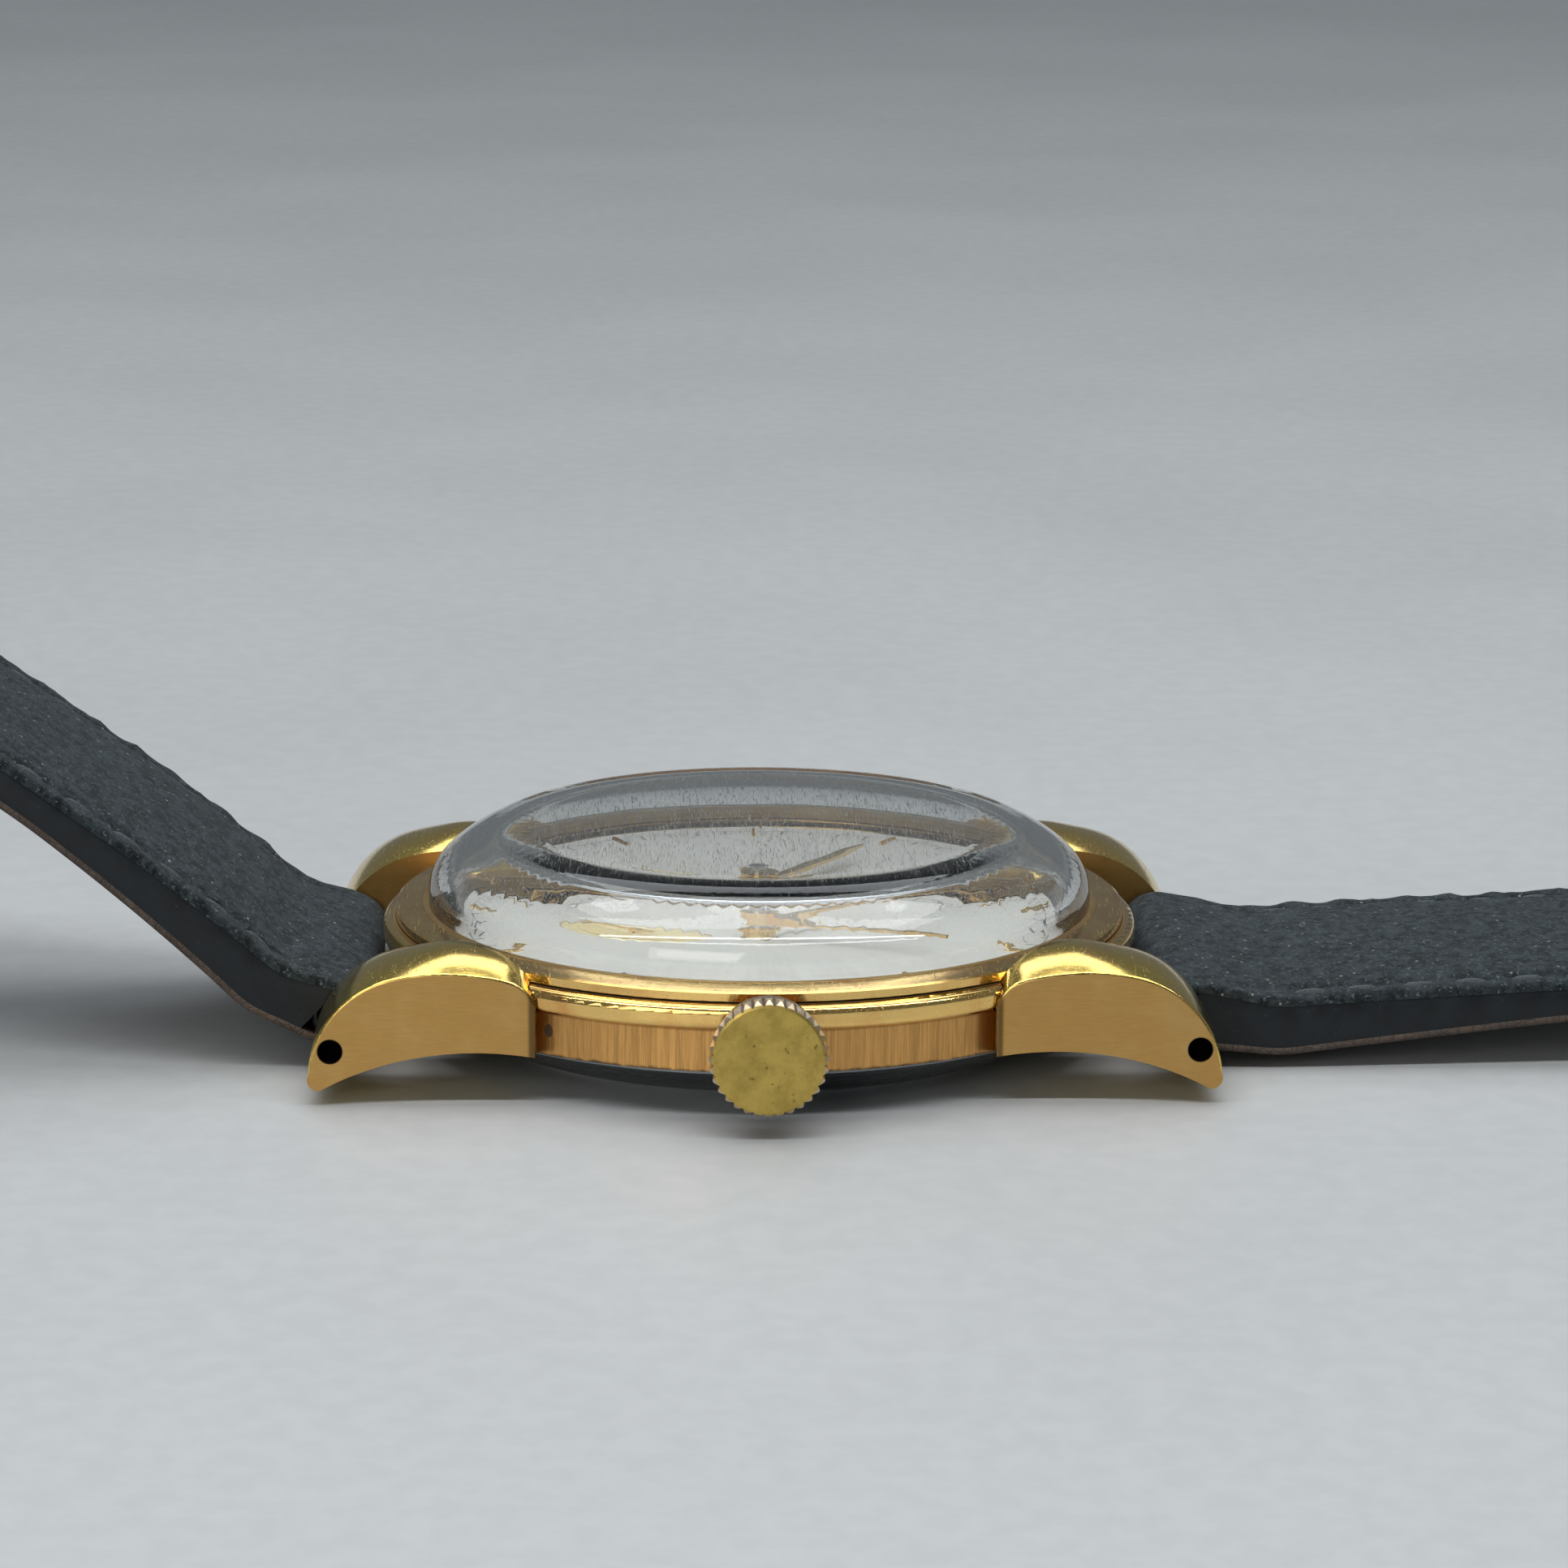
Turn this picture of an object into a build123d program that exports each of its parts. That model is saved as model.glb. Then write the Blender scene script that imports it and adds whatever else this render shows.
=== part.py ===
from build123d import *
import os
from math import acos, atan2, cos, degrees, pi, radians, sin, sqrt

# A hand-wound gentleman's wristwatch, lying on its back. Millimetres.
# +X points to 3 o'clock (the crown), +Y to 12 o'clock, +Z up out of the dial.
# The origin is the middle of the case back's flat resting face.

# ---- case ----
BAND_R = 17.45              # brushed case band
BAND_Z = (2.30, 4.35)
RING_R = 18.10              # polished step above the band
RING_Z = (4.35, 5.55)
BEZEL_R = 17.50
BEZEL_WALL_TOP = 6.00
BEZEL_LIP_R = 16.20
BEZEL_TOP = 6.20
GROOVE_DEPTH = 0.50         # undercut line between ring and bezel
GROOVE_HEIGHT = 0.08
CASE_BORE_R = 14.40         # holds the movement ring
DIAL_SEAT_R = 15.05
CRYSTAL_SEAT_Z = 5.34
BACK_FLAT_R = 12.90
BACK_EDGE_R = 16.90
BACK_FLOOR = 0.70
BACK_SNAP_R = 15.40

# ---- crystal ----
CRYSTAL_R = 15.93
CRYSTAL_WALL_TOP = 6.50
CRYSTAL_SHOULDER_R = 11.00  # where the shoulder meets the flat dome
CRYSTAL_SHOULDER_TOP = 9.90
CRYSTAL_CROWN_TOP = 10.05
CRYSTAL_THICKNESS = 1.25

# ---- lugs ----
LUG_INNER_X = 9.20
LUG_OUTER_X = 14.90
LUG_ROOT_Y = 10.50
LUG_TIP_Y = 20.95
LUG_TIP_Z = 1.45            # where the tip's upright edge turns into its bottom corner
LUG_TIP_LOW = (20.40, 0.78)
LUG_TOP = [                 # distance from the middle, height at both sides, rise between them
    (10.50, 4.60, 0.40),
    (11.15, 5.60, 0.65),
    (12.70, 6.10, 0.72),
    (14.60, 6.28, 0.68),
    (16.30, 6.18, 0.42),
    (18.10, 5.68, 0.34),
    (19.60, 4.60, 0.28),
    (20.60, 3.10, 0.20),
    (LUG_TIP_Y, LUG_TIP_Z, 0.06),
]
LUG_EDGE_ROUNDING = 0.15
LUG_HOLE_R = 0.55
BAR_Y = 19.92               # spring bar axis
BAR_Z = 2.63
BAR_TUBE_R = 0.75
BAR_TUBE_BORE = 0.55
BAR_TUBE_HALF = 6.30        # short enough for both collars to be pressed in
BAR_COIL_R = (0.30, 0.50)
PLUNGER_R = 0.50
PLUNGER_TRAVEL = 2.20       # brings its tip flush with the lug's inner face
PLUNGER_TAIL_X = 4.60
PLUNGER_COLLAR_X = (8.63, 8.83)
PLUNGER_END_X = 11.40

# ---- crown and stem ----
STEM_Z = 3.84
CROWN_X = (18.40, 20.90)
CROWN_R = 2.716
CROWN_BACK_R = 2.36         # it narrows towards the case
CROWN_FACE_R = 2.56
CROWN_BEVEL = 0.32
CROWN_TEETH = 32
CROWN_TOOTH_DEPTH = 0.22
STEM_R = 0.60
STEM_STEP_X = 8.70          # the stem is thinner inside this point
TUBE_R = 1.20
TUBE_START = 15.20
RUNNING = 0.05              # radial clearance of running fits

# ---- dial and hands ----
DIAL_R = 15.00
DIAL_Z = (4.90, 5.30)
SECONDS_DIAL_R = 3.70
MARKER_END_R = 14.10
MARKER_LENGTH = 1.50
MARKER_WIDTH = 0.24
MARKER_HEIGHT = 0.12
MINUTE_CLOCK = 48.0         # degrees clockwise from 12
HOUR_CLOCK = 304.0
SECONDS_CLOCK = 215.0
HOUR_HAND_Z = (5.90, 6.08)
MINUTE_HAND_Z = (6.40, 6.56)
SECONDS_HAND_Z = (5.52, 5.62)

# ---- movement levels ----
PLATE_R = 12.90
PLATE_Z = (3.30, 4.90)
MOTION_FLOOR = 4.02         # recess for the motion work, under the dial
WINDING_WHEELS_Z = (0.95, 1.25)
BARREL_BRIDGE_Z = (1.32, 1.90)
TRAIN_BRIDGE_Z = (1.05, 1.85)
COCK_Z = (1.05, 1.85)
PIVOT_R = 0.10
JEWEL_R = 0.50
JEWEL_HOLE_R = 0.15
JEWEL_THICKNESS = 0.30

# ---- gear train: (teeth, module) ----
BARREL_GEAR = (72, 0.14)
CENTRE_PINION = (12, 0.14)
CENTRE_GEAR = (64, 0.11)
THIRD_PINION = (8, 0.11)
THIRD_GEAR = (60, 0.10)
FOURTH_PINION = (8, 0.10)
FOURTH_GEAR = (70, 0.085)
ESCAPE_PINION = (7, 0.085)
CANNON_GEAR = (12, 0.11)
MINUTE_GEAR = (36, 0.11)
MINUTE_PINION = (10, 0.1056)
HOUR_GEAR = (40, 0.1056)
CROWN_GEAR = (28, 0.23)
RATCHET_GEAR = (44, 0.23)
ESCAPE_TEETH = 15
ESCAPE_R = 2.30
FACE_TEETH = 36             # crown wheel's teeth that meet the winding pinion
FACE_R = 2.50
WINDING_PINION_TEETH = 12


def spacing(first, second):
    return first[1] * (first[0] + second[0]) / 2


def away(start, distance, angle):
    return (start[0] + distance * cos(radians(angle)), start[1] + distance * sin(radians(angle)))


def heading(start, end):
    return degrees(atan2(end[1] - start[1], end[0] - start[0]))


# ---- wheel centres, seen from the dial ----
CENTRE = (0.0, 0.0)
SECONDS = (0.0, -5.9)
WINDING_PINION_X = 9.55
CROWN_WHEEL = (WINDING_PINION_X - FACE_R, 0.0)
BARREL_REACH = spacing(BARREL_GEAR, CENTRE_PINION)
RATCHET_REACH = spacing(RATCHET_GEAR, CROWN_GEAR)
BARREL_COSINE = (BARREL_REACH**2 + CROWN_WHEEL[0]**2 - RATCHET_REACH**2) / (2 * BARREL_REACH * CROWN_WHEEL[0])
BARREL = away(CENTRE, BARREL_REACH, degrees(acos(BARREL_COSINE)))
THIRD_REACH = spacing(CENTRE_GEAR, THIRD_PINION)
THIRD_Y = -(THIRD_REACH**2 - spacing(THIRD_GEAR, FOURTH_PINION)**2 + SECONDS[1]**2) / (2 * -SECONDS[1])
THIRD = (-sqrt(THIRD_REACH**2 - THIRD_Y**2), THIRD_Y)
ESCAPE = away(SECONDS, spacing(FOURTH_GEAR, ESCAPE_PINION), 190)
BALANCE = (-7.7, -3.2)
PALLET_REACH = ESCAPE_R / cos(radians(30))
PALLET = away(ESCAPE, PALLET_REACH, heading(ESCAPE, BALANCE))
MINUTE_WHEEL = away(CENTRE, spacing(CANNON_GEAR, MINUTE_GEAR), -35)
CLICK = away(BARREL, 7.0, 150)
BALANCE_R = 4.10

# ---- strap: straight runs and arcs of its middle line, as (length, turn in degrees) ----
STRAP_WIDTH = 17.9
BUCKLE_WIDTH = 16.0
STRAP_THICK = 3.05          # beside the lugs
STRAP_THIN = 2.05
THICK_RUN = 17.0            # length over which the padding thins out
TOP_LAYER = 1.10
LINING_LAYER = 0.70
LAYER_GAP = 0.03
LOOP_R = 1.60               # leather wrapped round a bar
LONG_START = (20.60, 1.47, 44.5)    # distance from the watch's middle, height, rising angle
LONG_RUNS = [(20.0, -9.5), (78.0, -80.0), (10.0, -4.0)]
SHORT_START = (20.60, 1.68, 5.5)
SHORT_RUNS = [(17.2, -1.0), (16.0, -7.5), (34.6, 0.0)]
STRAP_STEPS = 28
STRAP_HOLES = 7
STRAP_HOLE_R = 0.90
STRAP_HOLE_PITCH = 6.5
STRAP_FIRST_HOLE = 22.0     # from the tip
STRAP_TIP_LENGTH = 11.0

# ---- buckle ----
BUCKLE_BAR_R = 0.70
BUCKLE_WIRE = 1.90
BUCKLE_LENGTH = 11.5
BUCKLE_HALF_WIDTH = 10.2
KEEPER_WIDTH = 4.5
KEEPER_WALL = 0.80
KEEPER_SIDE_ROOM = 0.25
FREE_KEEPER_AT = 46.0       # along the short half's middle line
FIXED_KEEPER_AT = 63.5


def rod(radius, z_low, z_high, at=CENTRE):
    return Pos(at[0], at[1], z_low) * Cylinder(
        radius, z_high - z_low, align=(Align.CENTER, Align.CENTER, Align.MIN)
    )


def washer(radius, hole, z_low, z_high, at=CENTRE):
    return rod(radius, z_low, z_high, at) - rod(hole, z_low - 1, z_high + 1, at)


def rod_x(radius, x_low, x_high, y, z):
    lying = Cylinder(radius, x_high - x_low, align=(Align.CENTER, Align.CENTER, Align.MIN))
    return Pos(x_low, y, z) * Rotation(0, 90, 0) * lying


def box(x, y, z):
    middle = Pos((x[0] + x[1]) / 2, (y[0] + y[1]) / 2, (z[0] + z[1]) / 2)
    return middle * Box(x[1] - x[0], y[1] - y[0], z[1] - z[0])


def turned(*lines):
    """A solid of revolution about Z, from a closed outline of (radius, height) lines."""
    return revolve(make_face(Plane.XZ * Curve(children=list(lines))), Axis.Z)


def turned_points(points):
    return turned(Polyline(*points, close=True))


def slab(sketch, z_low, z_high):
    return extrude(Pos(0, 0, z_low) * sketch, z_high - z_low)


def hull(circles):
    """The flat shape that a band stretched round these (x, y, radius) circles makes."""
    rounds = [Pos(x, y) * Circle(r) for x, y, r in circles]
    return make_hull([edge for disc in rounds for edge in disc.edges()])


# ---------------------------------------------------------------- gears

def tooth_outline(teeth, root, tip, root_share, tip_share, phase):
    """Straight-flanked teeth; a tooth's middle stands at the phase angle."""
    pitch = 360 / teeth
    corners = []
    for i in range(teeth):
        middle = phase + i * pitch
        for radius, share in ((root, -root_share), (tip, -tip_share), (tip, tip_share), (root, root_share)):
            angle = radians(middle + share * pitch / 2)
            corners.append((radius * cos(angle), radius * sin(angle)))
    return Polygon(*corners, align=None)


def gear(size, z_low, z_high, at, phase):
    teeth, module = size
    radius = teeth * module / 2
    outline = tooth_outline(teeth, radius - 1.25 * module, radius + 0.85 * module, 0.62, 0.22, phase)
    return slab(Pos(at[0], at[1]) * outline, z_low, z_high)


def meshing_phase(teeth, phase, other_teeth, angle):
    """The phase of a gear that sits at this angle from the first one, in mesh with it."""
    place = (angle - phase) / (360 / teeth)
    return angle + 180 - (0.5 - place) * 360 / other_teeth


def spokes_cut(at, z_low, z_high, inner, outer, count):
    """Windows that leave straight arms between hub and rim."""
    window = rod(outer, z_low - 0.1, z_high + 0.1, at) - rod(inner, z_low - 0.2, z_high + 0.2, at)
    arm_width = 0.16 * outer + 0.1
    for i in range(count):
        arm = Rotation(0, 0, i * 360 / count) * box(
            (0, outer + 1), (-arm_width / 2, arm_width / 2), (z_low - 0.2, z_high + 0.2)
        )
        window -= Pos(at[0], at[1], 0) * arm
    return window


def arbor(at, z_low, z_high, radius):
    """A staff with a fine pivot at each end."""
    body = rod(radius, z_low, z_high, at)
    return body + rod(PIVOT_R, z_low - 0.35, z_low, at) + rod(PIVOT_R, z_high, z_high + 0.35, at)


# ---------------------------------------------------------------- case

def make_case_middle():
    inner_bottom = 1.92
    body = turned_points([
        (CASE_BORE_R, inner_bottom), (BACK_SNAP_R - 0.03, inner_bottom), (BACK_SNAP_R - 0.03, BAND_Z[0]),
        (BAND_R, BAND_Z[0]), (BAND_R, RING_Z[0]), (RING_R, RING_Z[0]), (RING_R, RING_Z[1]),
        (CRYSTAL_R, RING_Z[1]), (CRYSTAL_R, CRYSTAL_SEAT_Z), (DIAL_SEAT_R, CRYSTAL_SEAT_Z),
        (DIAL_SEAT_R, DIAL_Z[0]), (CASE_BORE_R, DIAL_Z[0]),
    ])
    corners = body.edges().filter_by(GeomType.CIRCLE).filter_by(lambda e: abs(e.radius - RING_R) < 1e-3)
    body = fillet(corners, 0.42)
    body -= rod_x(TUBE_R, TUBE_START, RING_R + 1, 0, STEM_Z)
    return body - rod_x(STEM_R + RUNNING, CASE_BORE_R - 1, TUBE_START, 0, STEM_Z)


def make_bezel():
    return turned_points([
        (CRYSTAL_R, RING_Z[1]), (BEZEL_R - GROOVE_DEPTH, RING_Z[1]),
        (BEZEL_R - GROOVE_DEPTH, RING_Z[1] + GROOVE_HEIGHT), (BEZEL_R, RING_Z[1] + GROOVE_HEIGHT),
        (BEZEL_R, BEZEL_WALL_TOP), (BEZEL_R - 0.12, BEZEL_WALL_TOP + 0.07),
        (BEZEL_LIP_R + 0.1, BEZEL_TOP - 0.04), (BEZEL_LIP_R, BEZEL_TOP), (CRYSTAL_R, BEZEL_TOP),
    ])


def shoulder_line(reach, rise):
    """A quarter of an ellipse, from the top of the crystal's wall to its flat crown."""
    places = []
    for angle in (0, 30, 60, 90):
        across = CRYSTAL_SHOULDER_R + reach * cos(radians(angle))
        places.append((across, CRYSTAL_WALL_TOP + rise * sin(radians(angle))))
    return Spline(*places, tangents=((0, 1), (-1, 0)))


def crown_line(shoulder_top, crown_top):
    """From the shoulder to the middle of the crystal, level where it crosses the axis."""
    rise = crown_top - shoulder_top
    halfway = (CRYSTAL_SHOULDER_R / 2, crown_top - rise / 4)
    slope = (-1, 2 * rise / CRYSTAL_SHOULDER_R)
    return Spline((CRYSTAL_SHOULDER_R, shoulder_top), halfway, (0, crown_top), tangents=(slope, (-1, 0)))


def make_crystal():
    """A domed acrylic glass: upright wall, elliptical shoulder, nearly flat crown."""
    wall = CRYSTAL_THICKNESS
    reach = CRYSTAL_R - CRYSTAL_SHOULDER_R
    rise = CRYSTAL_SHOULDER_TOP - CRYSTAL_WALL_TOP
    return turned(
        Line((CRYSTAL_R, CRYSTAL_SEAT_Z), (CRYSTAL_R, CRYSTAL_WALL_TOP)),
        shoulder_line(reach, rise),
        crown_line(CRYSTAL_SHOULDER_TOP, CRYSTAL_CROWN_TOP),
        Line((0, CRYSTAL_CROWN_TOP), (0, CRYSTAL_CROWN_TOP - wall)),
        crown_line(CRYSTAL_SHOULDER_TOP - wall, CRYSTAL_CROWN_TOP - wall),
        shoulder_line(reach - wall, rise - wall),
        Line((CRYSTAL_R - wall, CRYSTAL_WALL_TOP), (CRYSTAL_R - wall, CRYSTAL_SEAT_Z)),
        Line((CRYSTAL_R - wall, CRYSTAL_SEAT_Z), (CRYSTAL_R, CRYSTAL_SEAT_Z)),
    )


def make_case_back():
    """A snap-on cover: flat resting face, sloped flank, and a rim that clips round the case."""
    rim = BACK_SNAP_R
    return turned(
        Line((0, 0), (BACK_FLAT_R, 0)),
        Line((BACK_FLAT_R, 0), (BACK_FLAT_R + 0.25, 0.18)),
        ThreePointArc((BACK_FLAT_R + 0.25, 0.18), (15.2, 0.98), (BACK_EDGE_R, 2.05)),
        Line((BACK_EDGE_R, 2.05), (BACK_EDGE_R, BAND_Z[0])),
        Line((BACK_EDGE_R, BAND_Z[0]), (rim, BAND_Z[0])),
        Line((rim, BAND_Z[0]), (rim, 1.75)),
        Line((rim, 1.75), (BACK_FLAT_R - 0.1, BACK_FLOOR)),
        Line((BACK_FLAT_R - 0.1, BACK_FLOOR), (0, BACK_FLOOR)),
        Line((0, BACK_FLOOR), (0, 0)),
    )


def lug_section(x, crowning):
    """The lug's outline in one upright plane: its top stands this share of the rise above the sides."""
    top = [(y, z + crowning * rise) for y, z, rise in LUG_TOP]
    root_end = (LUG_ROOT_Y, BAND_Z[0])
    corner = (LUG_TIP_Y - 0.10, LUG_TIP_LOW[1] + 0.16)
    outline = make_face(Curve(children=[
        Line(root_end, top[0]),
        Spline(*top),
        ThreePointArc(top[-1], corner, LUG_TIP_LOW),
        Spline(LUG_TIP_LOW, (18.00, 1.82), (14.60, 2.50), root_end),
    ]))
    return Plane.YZ.offset(x) * outline


def make_lug():
    """The lug at 2 o'clock, its top crowned from side to side; the other three are mirror images."""
    middle = (LUG_INNER_X + LUG_OUTER_X) / 2
    block = loft([lug_section(LUG_INNER_X, 0), lug_section(middle, 1), lug_section(LUG_OUTER_X, 0)])
    flat = block.faces().sort_by(Axis.X)[-1]
    block = fillet(flat.edges().filter_by(lambda e: e.center().Z > BAR_Z), LUG_EDGE_ROUNDING)
    block -= rod(BAND_R, 0, RING_Z[0] + 0.01)
    block -= rod(RING_R, RING_Z[0], RING_Z[1] + 0.02)
    block -= rod(BEZEL_R + 0.02, RING_Z[1], 9.0)
    return block - rod_x(LUG_HOLE_R, LUG_INNER_X - 1, LUG_OUTER_X + 1, BAR_Y, BAR_Z)


def make_pendant_tube():
    """The tube in the case wall that the stem runs through, under the crown's skirt."""
    tube = rod_x(TUBE_R, TUBE_START, 19.3, 0, STEM_Z)
    return tube - rod_x(STEM_R + RUNNING, CASE_BORE_R - 1, 20, 0, STEM_Z)


# ---------------------------------------------------------------- crown, stem and keyless work

def make_crown():
    """A flat-faced crown that narrows towards the case, fluted all round and bevelled in front."""
    back, front = CROWN_X
    flutes = tooth_outline(CROWN_TEETH, CROWN_R - CROWN_TOOTH_DEPTH, CROWN_R, 0.95, 0.18, 0)
    body = extrude(Plane.YZ.offset(back) * flutes, front - back)
    cone = turned_points([
        (0, back), (CROWN_BACK_R, back), (CROWN_R, front - CROWN_BEVEL), (CROWN_FACE_R, front - 0.06),
        (CROWN_FACE_R - 0.12, front), (0, front),
    ])
    body = body & (Rotation(0, 90, 0) * cone)
    body -= rod_x(1.35, back - 1, 20.0, 0, 0)
    body += rod_x(1.0, 19.45, 20.2, 0, 0)
    body -= rod_x(STEM_R, 18, 20.2, 0, 0)
    return Pos(0, 0, STEM_Z) * body


def make_stem():
    stem = rod_x(0.35, 4.9, 6.2, 0, STEM_Z) + rod_x(0.45, 6.2, STEM_STEP_X, 0, STEM_Z)
    return stem + rod_x(STEM_R, STEM_STEP_X, 20.2, 0, STEM_Z)


def breguet_teeth(x_low, x_high, radius, hole):
    """Slanted clutch teeth on a pinion's face, as six wedges."""
    wedges = []
    for i in range(6):
        low = radians(i * 60)
        high = radians(i * 60 + 27)
        mid = radians(i * 60 + 13.5)
        corners = [(hole * cos(low), hole * sin(low)), (radius * cos(low), radius * sin(low)),
                   (radius * cos(mid), radius * sin(mid)), (radius * cos(high), radius * sin(high)),
                   (hole * cos(high), hole * sin(high))]
        wedges.append(extrude(Plane.YZ.offset(x_low) * Polygon(*corners, align=None), x_high - x_low))
    return wedges


def make_winding_pinion():
    teeth = tooth_outline(WINDING_PINION_TEETH, 0.70, 0.95, 0.55, 0.25, -90 + 180 / WINDING_PINION_TEETH)
    body = extrude(Plane.YZ.offset(WINDING_PINION_X - 0.35) * teeth, 0.70)
    body += rod_x(0.80, WINDING_PINION_X + 0.30, WINDING_PINION_X + 0.60, 0, 0)
    body += breguet_teeth(WINDING_PINION_X - 0.50, WINDING_PINION_X - 0.34, 0.85, STEM_R + RUNNING)
    body -= rod_x(STEM_R + RUNNING, 0, 20, 0, 0)
    return Pos(0, 0, STEM_Z) * body


def make_sliding_pinion():
    right = WINDING_PINION_X - 0.51
    left = right - 1.75
    body = rod_x(0.85, right - 0.45, right, 0, 0) + rod_x(0.62, left + 0.4, right - 0.4, 0, 0)
    crown_teeth = tooth_outline(10, 0.62, 0.84, 0.60, 0.25, 0)
    body += extrude(Plane.YZ.offset(left) * crown_teeth, 0.45)
    body -= rod_x(0.45 + RUNNING, left - 1, STEM_STEP_X, 0, 0)
    body -= rod_x(STEM_R + RUNNING, STEM_STEP_X - 0.05, right + 1, 0, 0)
    return Pos(0, 0, STEM_Z) * body


def make_crown_wheel():
    """Flat teeth for the ratchet wheel, and a skirt whose end teeth meet the winding pinion."""
    x, y = CROWN_WHEEL
    tooth_low, tooth_high = 2.75, 3.04
    wheel = gear(CROWN_GEAR, *WINDING_WHEELS_Z, CROWN_WHEEL, crown_phase())
    wheel += washer(2.80, 2.20, WINDING_WHEELS_Z[0], tooth_low, CROWN_WHEEL)
    pitch = 360 / FACE_TEETH
    for i in range(FACE_TEETH):
        corners = []
        for radius, side in ((2.20, -1), (2.80, -1), (2.80, 1), (2.20, 1)):
            angle = radians(i * pitch + side * pitch * 0.19)
            corners.append((x + radius * cos(angle), y + radius * sin(angle)))
        wheel += slab(Polygon(*corners, align=None), tooth_low - 0.02, tooth_high)
    return wheel - rod(1.2, 0, 4, CROWN_WHEEL)


def crown_phase():
    return 0.0


def make_ratchet_wheel():
    phase = meshing_phase(CROWN_GEAR[0], crown_phase(), RATCHET_GEAR[0], heading(CROWN_WHEEL, BARREL))
    return gear(RATCHET_GEAR, *WINDING_WHEELS_Z, BARREL, phase) - rod(0.55, 0, 2, BARREL)


def make_click():
    nose = away(BARREL, 5.60, 128)
    body = slab(hull([(*CLICK, 0.85), (*nose, 0.25)]), *WINDING_WHEELS_Z)
    return body - rod(0.45, 0, 2, CLICK)


# ---------------------------------------------------------------- movement

JEWELLED = [THIRD, SECONDS, ESCAPE, PALLET, BALANCE]


def jewel_seats(z_low, z_high, places):
    seats = rod(JEWEL_R, z_low, z_high, places[0])
    for place in places[1:]:
        seats += rod(JEWEL_R, z_low, z_high, place)
    return seats


BARREL_FEET = [(-6.4, 7.6), (-1.9, 11.5), (8.6, 7.2), (10.9, -3.6)]
TRAIN_FEET = [(4.7, -8.3), (-1.0, -10.9)]
COCK_FEET = [(-11.3, 3.2)]
PALLET_COCK_FEET = [away(PALLET, 2.5, heading(ESCAPE, BALANCE) + turn) for turn in (90, -90)]
DIAL_FEET = [(-9.2, 6.6), (7.6, -9.0)]


def make_mainplate():
    plate = rod(PLATE_R, *PLATE_Z) + rod(13.4, PLATE_Z[1] - 0.30, PLATE_Z[1])
    plate -= rod(0.70, 3, 5)
    plate -= rod_x(STEM_R + RUNNING, 4.7, 14, 0, STEM_Z)
    plate -= box((6.4, 10.4), (-1.1, 1.1), (3, 5))
    for centre, radius in ((CENTRE, 2.40), (MINUTE_WHEEL, 2.25)):
        plate -= rod(radius, MOTION_FLOOR, 5, centre)
    plate -= jewel_seats(PLATE_Z[0] - 0.1, PLATE_Z[0] + JEWEL_THICKNESS, JEWELLED)
    for place in JEWELLED:
        plate -= rod(0.25, 3, 5, place)
    for place in DIAL_FEET:
        plate -= rod(0.42, 4, 5, place)
    plate -= rod(0.85, 3, PLATE_Z[0] + 0.35, BARREL)
    for place in BARREL_FEET + TRAIN_FEET + COCK_FEET:
        plate -= rod(0.35, 3, 4.2, place)
    return plate + rod(0.25, MOTION_FLOOR - 0.1, 4.75, MINUTE_WHEEL)


def make_bridge(outline, z_low, z_high, feet, jewels):
    body = slab(outline, z_low, z_high) & rod(PLATE_R - 0.1, z_low - 1, z_high + 1)
    for foot in feet:
        body += rod(0.95, z_high - 0.1, PLATE_Z[0], foot)
        body -= rod(0.35, 0, 4, foot)
        body -= rod(0.70, 0, z_low + 0.25, foot)
    if jewels:
        body -= jewel_seats(z_high - JEWEL_THICKNESS, z_high + 0.1, jewels)
        for jewel in jewels:
            body -= rod(0.25, 0, z_high + 0.1, jewel)
    return body


def make_barrel_bridge():
    outline = hull([(*foot, 1.25) for foot in BARREL_FEET] + [(-5.0, 9.2, 1.4), (0, -0.4, 1.3)])
    body = make_bridge(outline, *BARREL_BRIDGE_Z, BARREL_FEET, [])
    body -= rod(2.86, 1, 2, CROWN_WHEEL)
    body -= rod(0.90, 1, 2, BARREL)
    body += rod(0.40, WINDING_WHEELS_Z[0], BARREL_BRIDGE_Z[0] + 0.1, CLICK)
    return body - rod(0.30, 1, 2, CENTRE)


def make_train_bridge():
    outline = hull([(*foot, 1.2) for foot in TRAIN_FEET] + [(*THIRD, 1.0), (*ESCAPE, 1.0), (*SECONDS, 1.2)])
    return make_bridge(outline, *TRAIN_BRIDGE_Z, TRAIN_FEET, [THIRD, SECONDS, ESCAPE])


def make_balance_cock():
    outline = hull([(*BALANCE, 1.2), (*COCK_FEET[0], 1.3)])
    return make_bridge(outline, *COCK_Z, COCK_FEET, [BALANCE])


def make_pallet_cock():
    low, high = 2.84, 2.95
    body = slab(hull([(*foot, 0.55) for foot in PALLET_COCK_FEET]), low, high)
    for foot in PALLET_COCK_FEET:
        body += rod(0.5, low, PLATE_Z[0], foot)
    return body - rod(PIVOT_R + RUNNING, 2, 3, PALLET)


def make_jewels():
    """Ruby bearings: five in the plate and four in the bridges."""
    stones = [washer(JEWEL_R, JEWEL_HOLE_R, PLATE_Z[0], PLATE_Z[0] + JEWEL_THICKNESS, p) for p in JEWELLED]
    for place in (THIRD, SECONDS, ESCAPE, BALANCE):
        top = TRAIN_BRIDGE_Z[1]
        stones.append(washer(JEWEL_R, JEWEL_HOLE_R, top - JEWEL_THICKNESS, top, place))
    return Compound(children=stones)


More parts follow.
